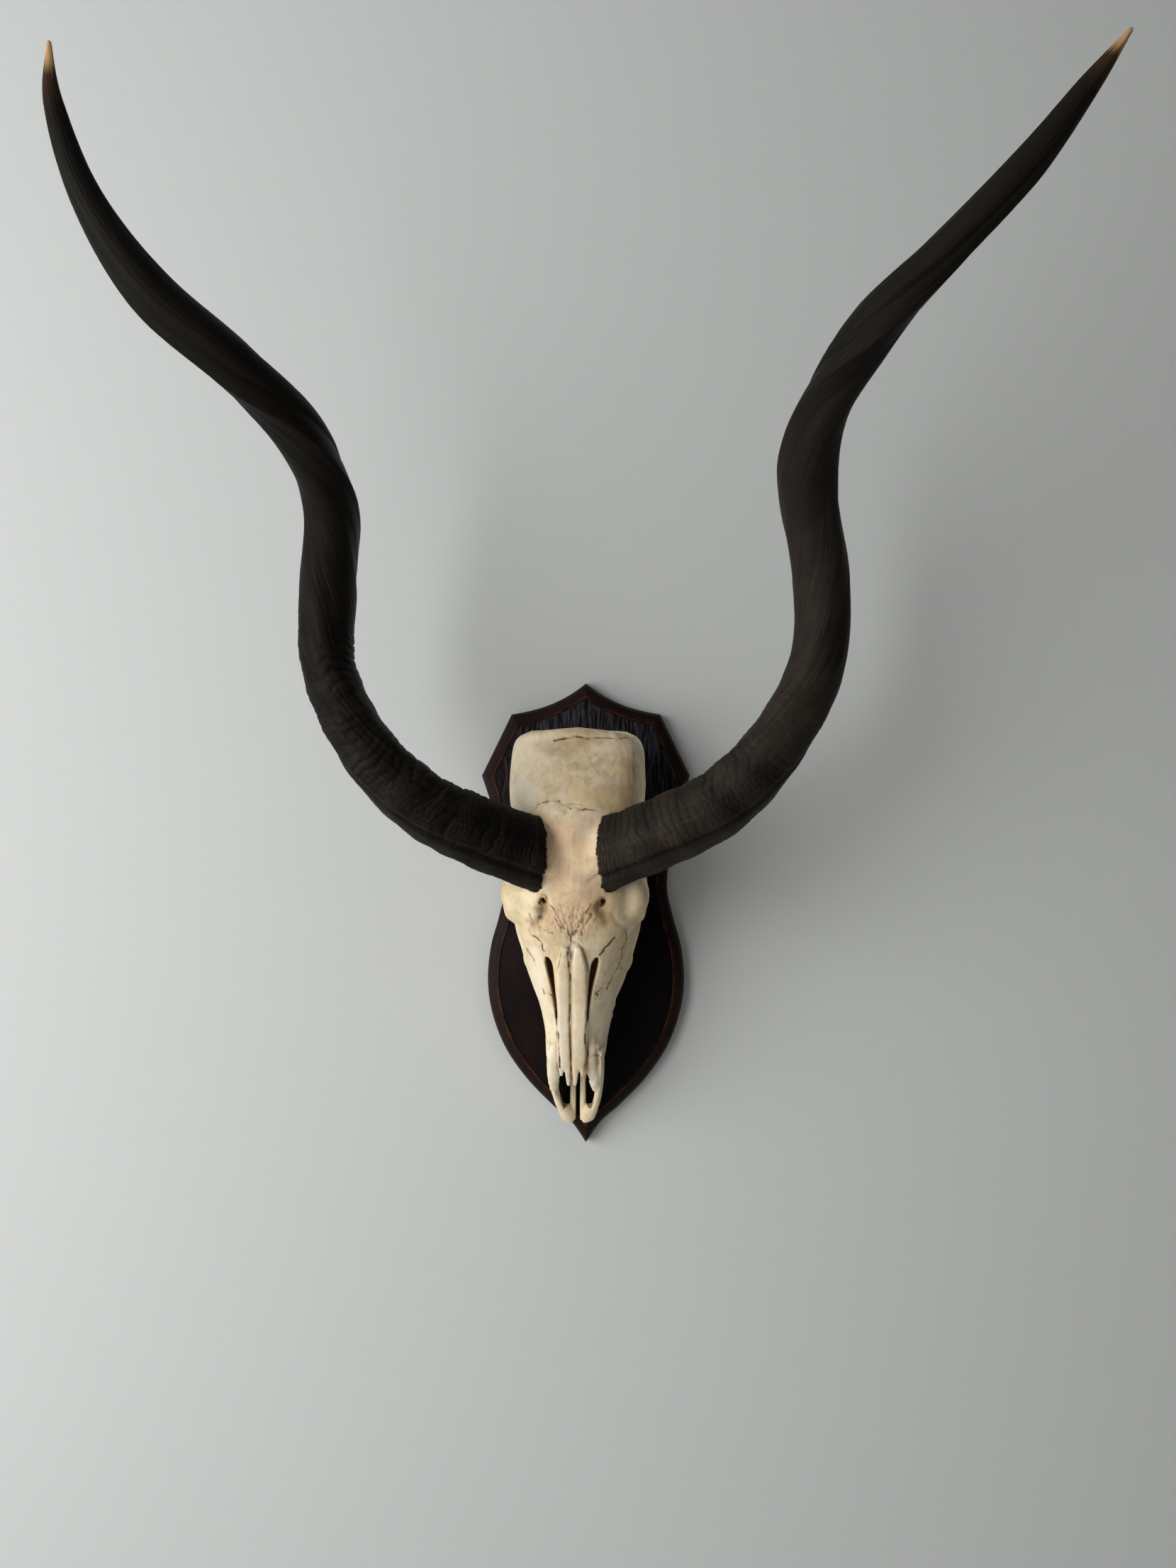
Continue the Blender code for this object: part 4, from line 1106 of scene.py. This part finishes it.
# Hollows and stained spots: centre, then radius and depth in millimetres, stain
SPOTS = {
    MIDDLE_CLOSE: [
        ((440, 957), 2.4, 1.6, 1.0), ((985, 985), 2.6, 1.8, 1.0), ((415, 1060), 6.5, 1.2, 0.5),
        ((350, 1055), 4.0, 0.3, 0.22), ((402, 1135), 2.8, 1.6, 0.8), ((400, 1225), 2.2, 0.6, 0.4),
        ((925, 1020), 6.5, 1.0, 0.5), ((975, 1090), 5.0, 0.8, 0.36), ((500, 780), 5.5, 0.3, 0.20),
        ((880, 880), 6.0, 0.2, 0.14), ((75, 830), 4.5, 0.3, 0.30), ((330, 1190), 3.5, 0.6, 0.24),
        ((545, 1105), 1.4, 0.8, 0.4), ((865, 1095), 1.4, 0.8, 0.4),
    ],
    LOWER_CLOSE: [
        ((735, 1000), 3.0, 0.3, 0.35), ((985, 330), 3.0, 0.4, 0.30), ((700, 690), 2.2, 0.2, 0.25),
        ((600, 1000), 2.4, 0.1, 0.20),
    ],
    TOP_CLOSE: [
        ((688, 396), 1.8, 0.5, 0.55), ((540, 426), 1.6, 0.4, 0.5), ((600, 492), 1.6, 0.4, 0.1),
        ((826, 526), 2.2, 0.3, 0.3),
    ],
}
# Patches of colour: centre, then reach across and along in millimetres, strength
PALE_PATCHES = {
    TOP_CLOSE: [((330, 800), 14, 22, 0.8), ((340, 470), 20, 16, 0.5)],
    LOWER_CLOSE: [((480, 900), 8, 6, 0.7), ((820, 905), 7, 4, 0.9), ((780, 1110), 3, 8, 0.9),
                  ((380, 380), 10, 40, 0.6), ((560, 700), 6, 60, 0.4), ((660, 250), 5, 20, 0.5)],
}
OCHRE_PATCHES = {
    TOP_CLOSE: [((1030, 760), 7, 34, 0.8), ((960, 900), 30, 5, 0.6), ((780, 800), 26, 9, 0.5)],
    MIDDLE_CLOSE: [((930, 1050), 9, 10, 0.8), ((420, 1090), 8, 12, 0.6), ((1390, 900), 5, 22, 0.8),
                   ((80, 850), 7, 10, 0.7)],
    LOWER_CLOSE: [((980, 120), 12, 10, 0.5), ((470, 520), 6, 8, 0.7), ((740, 980), 4, 14, 0.6),
                  ((600, 1380), 14, 12, 0.4), ((720, 1390), 12, 12, 0.4)],
}
# Greyer dusty patches; the last two of the top close-up, long thin strips along the top of the cranium, are
# painted shade on its upward-facing facet.
DUSTY_AND_SHADED_PATCHES = {
    TOP_CLOSE: [((700, 620), 34, 30, 0.75), ((880, 640), 26, 26, 0.7), ((560, 800), 26, 12, 0.4),
                ((600, 450), 12, 6, 0.6), ((1120, 560), 8, 40, 0.5), ((560, 345), 34, 7, 0.8),
                ((960, 350), 36, 7, 0.8)],
    MIDDLE_CLOSE: [((570, 620), 8, 30, 0.5), ((530, 800), 16, 9, 0.45)],
    LOWER_CLOSE: [((640, 160), 10, 6, 0.5)],
}
# Wrinkled bone between the brows: its middle and reach in the photograph's pixels
BROW_CENTRE = (806.0, 1300.0)
BROW_REACH = (34.0, 26.0)
# How far around a mark and around a broad form it still shows, in the photograph's pixels
MARK_MARGIN = 9
FORM_MARGIN = 90


def from_photo(table):
    # Each row of a table, with its points moved from their close-up into the photograph's pixels.
    for (left, top, enlargement), rows in table.items():
        for points, *row in rows:
            yield np.array(points, float) / enlargement + np.array([left, top]), row


def photo_place(world):
    # Where points in millimetres fall in the photograph, in its pixels, and the size of a pixel there.
    scale = (CAMERA_DISTANCE / MM + world[:, 1]) / FOCAL_PIXELS
    across = IMAGE_WIDTH / 2 + (world[:, 0] - CAMERA_SIDE / MM) / scale
    down = IMAGE_HEIGHT / 2 - (world[:, 2] - CAMERA_HEIGHT / MM) / scale
    return np.stack([across, down], axis=-1), scale


def tinted(table, local, world):
    # Strength from 0 to 1 of the patches at each point, with uneven edges.
    places, scale = photo_place(world)
    total = np.zeros(len(local))
    wobble = 1 + 0.5 * noise(local, 11, 41) + 0.35 * noise(local, 4.5, 42)
    for centre, (across, along, strength) in from_photo(table):
        gap = (places - centre) * scale[:, None] / [across, along]
        total = np.maximum(total, strength * ease(1.5, 0.4, np.linalg.norm(gap, axis=1) * wobble))
    return total


def line_distance(places, line):
    best = np.full(len(places), 1e9)
    for start, end in zip(line[:-1], line[1:]):
        run = end - start
        share = np.clip(((places - start) @ run) / max(run @ run, 1e-9), 0, 1)
        best = np.minimum(best, np.linalg.norm(places - start - share[:, None] * run, axis=1))
    return best


def skull_marks(local, world, facing):
    # Depth in millimetres and stain for each point, from the marks that the front shows.
    places, scale = photo_place(world)
    depth = np.zeros(len(local))
    stain = np.zeros(len(local))
    front = ease(0.05, 0.35, facing)
    for line, (width, deep, dark, ragged) in from_photo(MARKS):
        inside = (places > line.min(0) - MARK_MARGIN) & (places < line.max(0) + MARK_MARGIN)
        near = np.where(inside.all(1) & (front > 0))[0]
        spot = local[near]
        jitter = [noise(spot, 3.1, seed) + 0.6 * noise(spot, 1.4, seed + 2) for seed in (5, 6)]
        gap = line_distance(places[near] + np.stack(jitter, axis=-1) * ragged, line) * scale[near]
        depth[near] = np.maximum(depth[near], bell(gap / width) * front[near] * deep)
        broken = 0.3 + 0.7 * ease(-0.35, 0.35, noise(spot, 6.5, 9))
        halo = bell(gap / width) * dark * broken + bell(gap / (width * 4)) * dark * 0.16
        stain[near] = np.maximum(stain[near], halo * front[near])
    for line, (width, deep) in from_photo(FORMS):
        near = np.where((np.abs(places - line.mean(0)) < FORM_MARGIN).all(1) & (front > 0))[0]
        gap = line_distance(places[near], line) * scale[near]
        depth[near] += bell(gap / width) * front[near] * deep
    for centre, (radius, deep, dark) in from_photo(SPOTS):
        gap = np.linalg.norm(places - centre, axis=1) * scale * (1 + 0.25 * noise(local, 5.0, 11))
        hollow = bell(gap / radius) * front
        depth += hollow * deep
        stain = np.maximum(stain, hollow * dark)
    return depth, stain


def brow_wrinkles(world):
    # Share of wrinkling around its middle between the brows.
    return bell((photo_place(world)[0] - BROW_CENTRE) / BROW_REACH).prod(1)


def make_skull():
    hull, bone, points, faces = fuse_skull()
    slope = field_slope(bone, points)
    world = skull_to_world(points)
    depth = skull_marks(points, world, slope[:, 2])[0]
    along = points[:, 1]
    front = ease(0.1, 0.5, slope[:, 2])
    lump = noise(points, 16, 21) * 0.35 + noise(points, 6, 22) * 0.14 + noise(points, 2.6, 23) * 0.07
    lump += ease(320, 345, along) * front * noise(points * [1, 0.5, 1], 4.5, 24) * 0.16
    ridge = noise(points * [1, 0.16, 1], 1.9, 25)
    lump += brow_wrinkles(world) * front * (ridge * 0.4 + noise(points, 3.0, 26) * 0.15)
    fibres = noise(points * [1, 0.08, 1], 1.3, 27) * 0.1 * ease(260, 200, along)
    points = points + slope * (lump + fibres - depth)[:, None]
    item = mesh_object("skull_bone", skull_to_world(points) * MM, faces[:, ::-1].tolist())
    reduce_mesh(item, SKULL_TRIANGLES)
    colour_skull(item.data, hull, bone)
    return item


def colour_skull(mesh, hull, bone):
    # Attributes for the bone's material.
    flat = np.empty(len(mesh.vertices) * 3, np.float32)
    mesh.vertices.foreach_get("co", flat)
    world = flat.reshape(-1, 3).astype(float) / MM
    local = world_to_skull(world)
    side = np.abs(local[:, 0])
    along = local[:, 1]
    slope = field_slope(bone, local)
    forehead = ease(205, 240, along) * ease(345, 325, along + 4 * noise(local, 12, 31)) * ease(45, 30, side)
    pale = ease(190, 120, along) * 0.3 + ease(0.2, 0.7, noise(local, 17, 33)) * 0.3
    enamel = ease(17, 11, local[:, 2]) * ease(108, 114, along) * ease(220, 214, along) * ease(14, 19, side)
    # How hemmed in each point is by the bone around it, which darkens the recesses: dirt there, and painted
    # shade.
    shelter = sum(np.clip(1 - sample(bone, local + slope * reach) / reach, 0, 1) / 2 for reach in (3.0, 7.0))
    for name, values in (
            ("stain", np.clip(skull_marks(local, world, slope[:, 2])[1], 0, 1)),
            # Surfaces deep under the bone's outer form are the inside of its hollows, painted dark red-brown
            # as shade.
            ("pit", ease(1.2, 9.0, -sample(hull, local))),
            ("shelter", ease(0.12, 0.6, shelter)),
            ("warm", np.clip(forehead * (0.75 + 0.35 * noise(local, 20, 32)), 0, 1)),
            ("pale", np.clip(pale + tinted(PALE_PATCHES, local, world), 0, 1)),
            ("enamel", enamel),
            ("brow", brow_wrinkles(world) * ease(0.1, 0.4, slope[:, 2])),
            ("ochre", tinted(OCHRE_PATCHES, local, world)),
            ("dust", tinted(DUSTY_AND_SHADED_PATCHES, local, world))):
        set_attribute(mesh, name, values)


# Scene

def make_light(name, place, aim, size, power, colour):
    data = bpy.data.lights.new(name, "AREA")
    data.shape = "RECTANGLE"
    data.size, data.size_y = size
    data.energy = power
    data.color = colour
    item = bpy.data.objects.new(name, data)
    item.location = place
    item.rotation_euler = (Vector(aim) - Vector(place)).to_track_quat("-Z", "Y").to_euler()
    bpy.context.scene.collection.objects.link(item)


def make_plane(name, low, high, material):
    # A rectangle between two opposite corners, level or upright.
    corner_points = [low, (high[0],) + low[1:], high, (low[0],) + high[1:]]
    item = mesh_object(name, corner_points, [[0, 1, 2, 3]], smooth=False)
    item.data.materials.append(material)
    return item


skull = make_skull()
right = make_horn("right_horn_sheath", RIGHT_HORN, -1, seed=40, ringing=1.7, ringed_length=430)
left = make_horn("left_horn_sheath", LEFT_HORN, 1, seed=60, ringing=1.0, ringed_length=330)
board = make_shield()
drill(board)
pieces = [
    (skull, "skull", "bone", bone_material()),
    (right, "right_horn", "horn", horn_material("horn_right_shaded", *SHADED_RIGHT_TONES)),
    (left, "left_horn", "horn", horn_material("horn_left", *LEFT_TONES)),
    (board, "shield", "stained_oak", oak_material()),
]
steel = steel_material()
pieces += [(make_screw(name + "_metal", x, z), name, "steel", steel) for name, (x, z) in SCREWS.items()]
for piece, node, slot, material in pieces:
    piece.data.materials.append(material)
    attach(piece, "root")
    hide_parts(node)

wall = make_plane("wall", *WALL, paint_material("wall_paint", (0.575, 0.60, 0.605), one_sided=True))
# The wall throws no shadow, so that the light behind it reaches the board's back.
wall.visible_shadow = False
make_plane("floor", *FLOOR, paint_material("floor_paint", (0.62, 0.62, 0.61), one_sided=False))
for name, settings in LIGHTS.items():
    make_light(name, *settings)

world = bpy.data.worlds.new("studio")
world.use_nodes = True
world.node_tree.nodes["Background"].inputs["Color"].default_value = ROOM_LIGHT
world.node_tree.nodes["Background"].inputs["Strength"].default_value = ROOM_LIGHT_STRENGTH
bpy.context.scene.world = world
bpy.context.scene.view_settings.view_transform = "Standard"

camera_data = bpy.data.cameras.new("camera")
camera_data.sensor_width = SENSOR
camera_data.lens = FOCAL_PIXELS / IMAGE_HEIGHT * SENSOR
camera = bpy.data.objects.new("camera", camera_data)
camera.location = (CAMERA_SIDE, -CAMERA_DISTANCE, CAMERA_HEIGHT)
camera.rotation_euler = (math.radians(90), 0, 0)
bpy.context.scene.collection.objects.link(camera)
bpy.context.scene.camera = camera
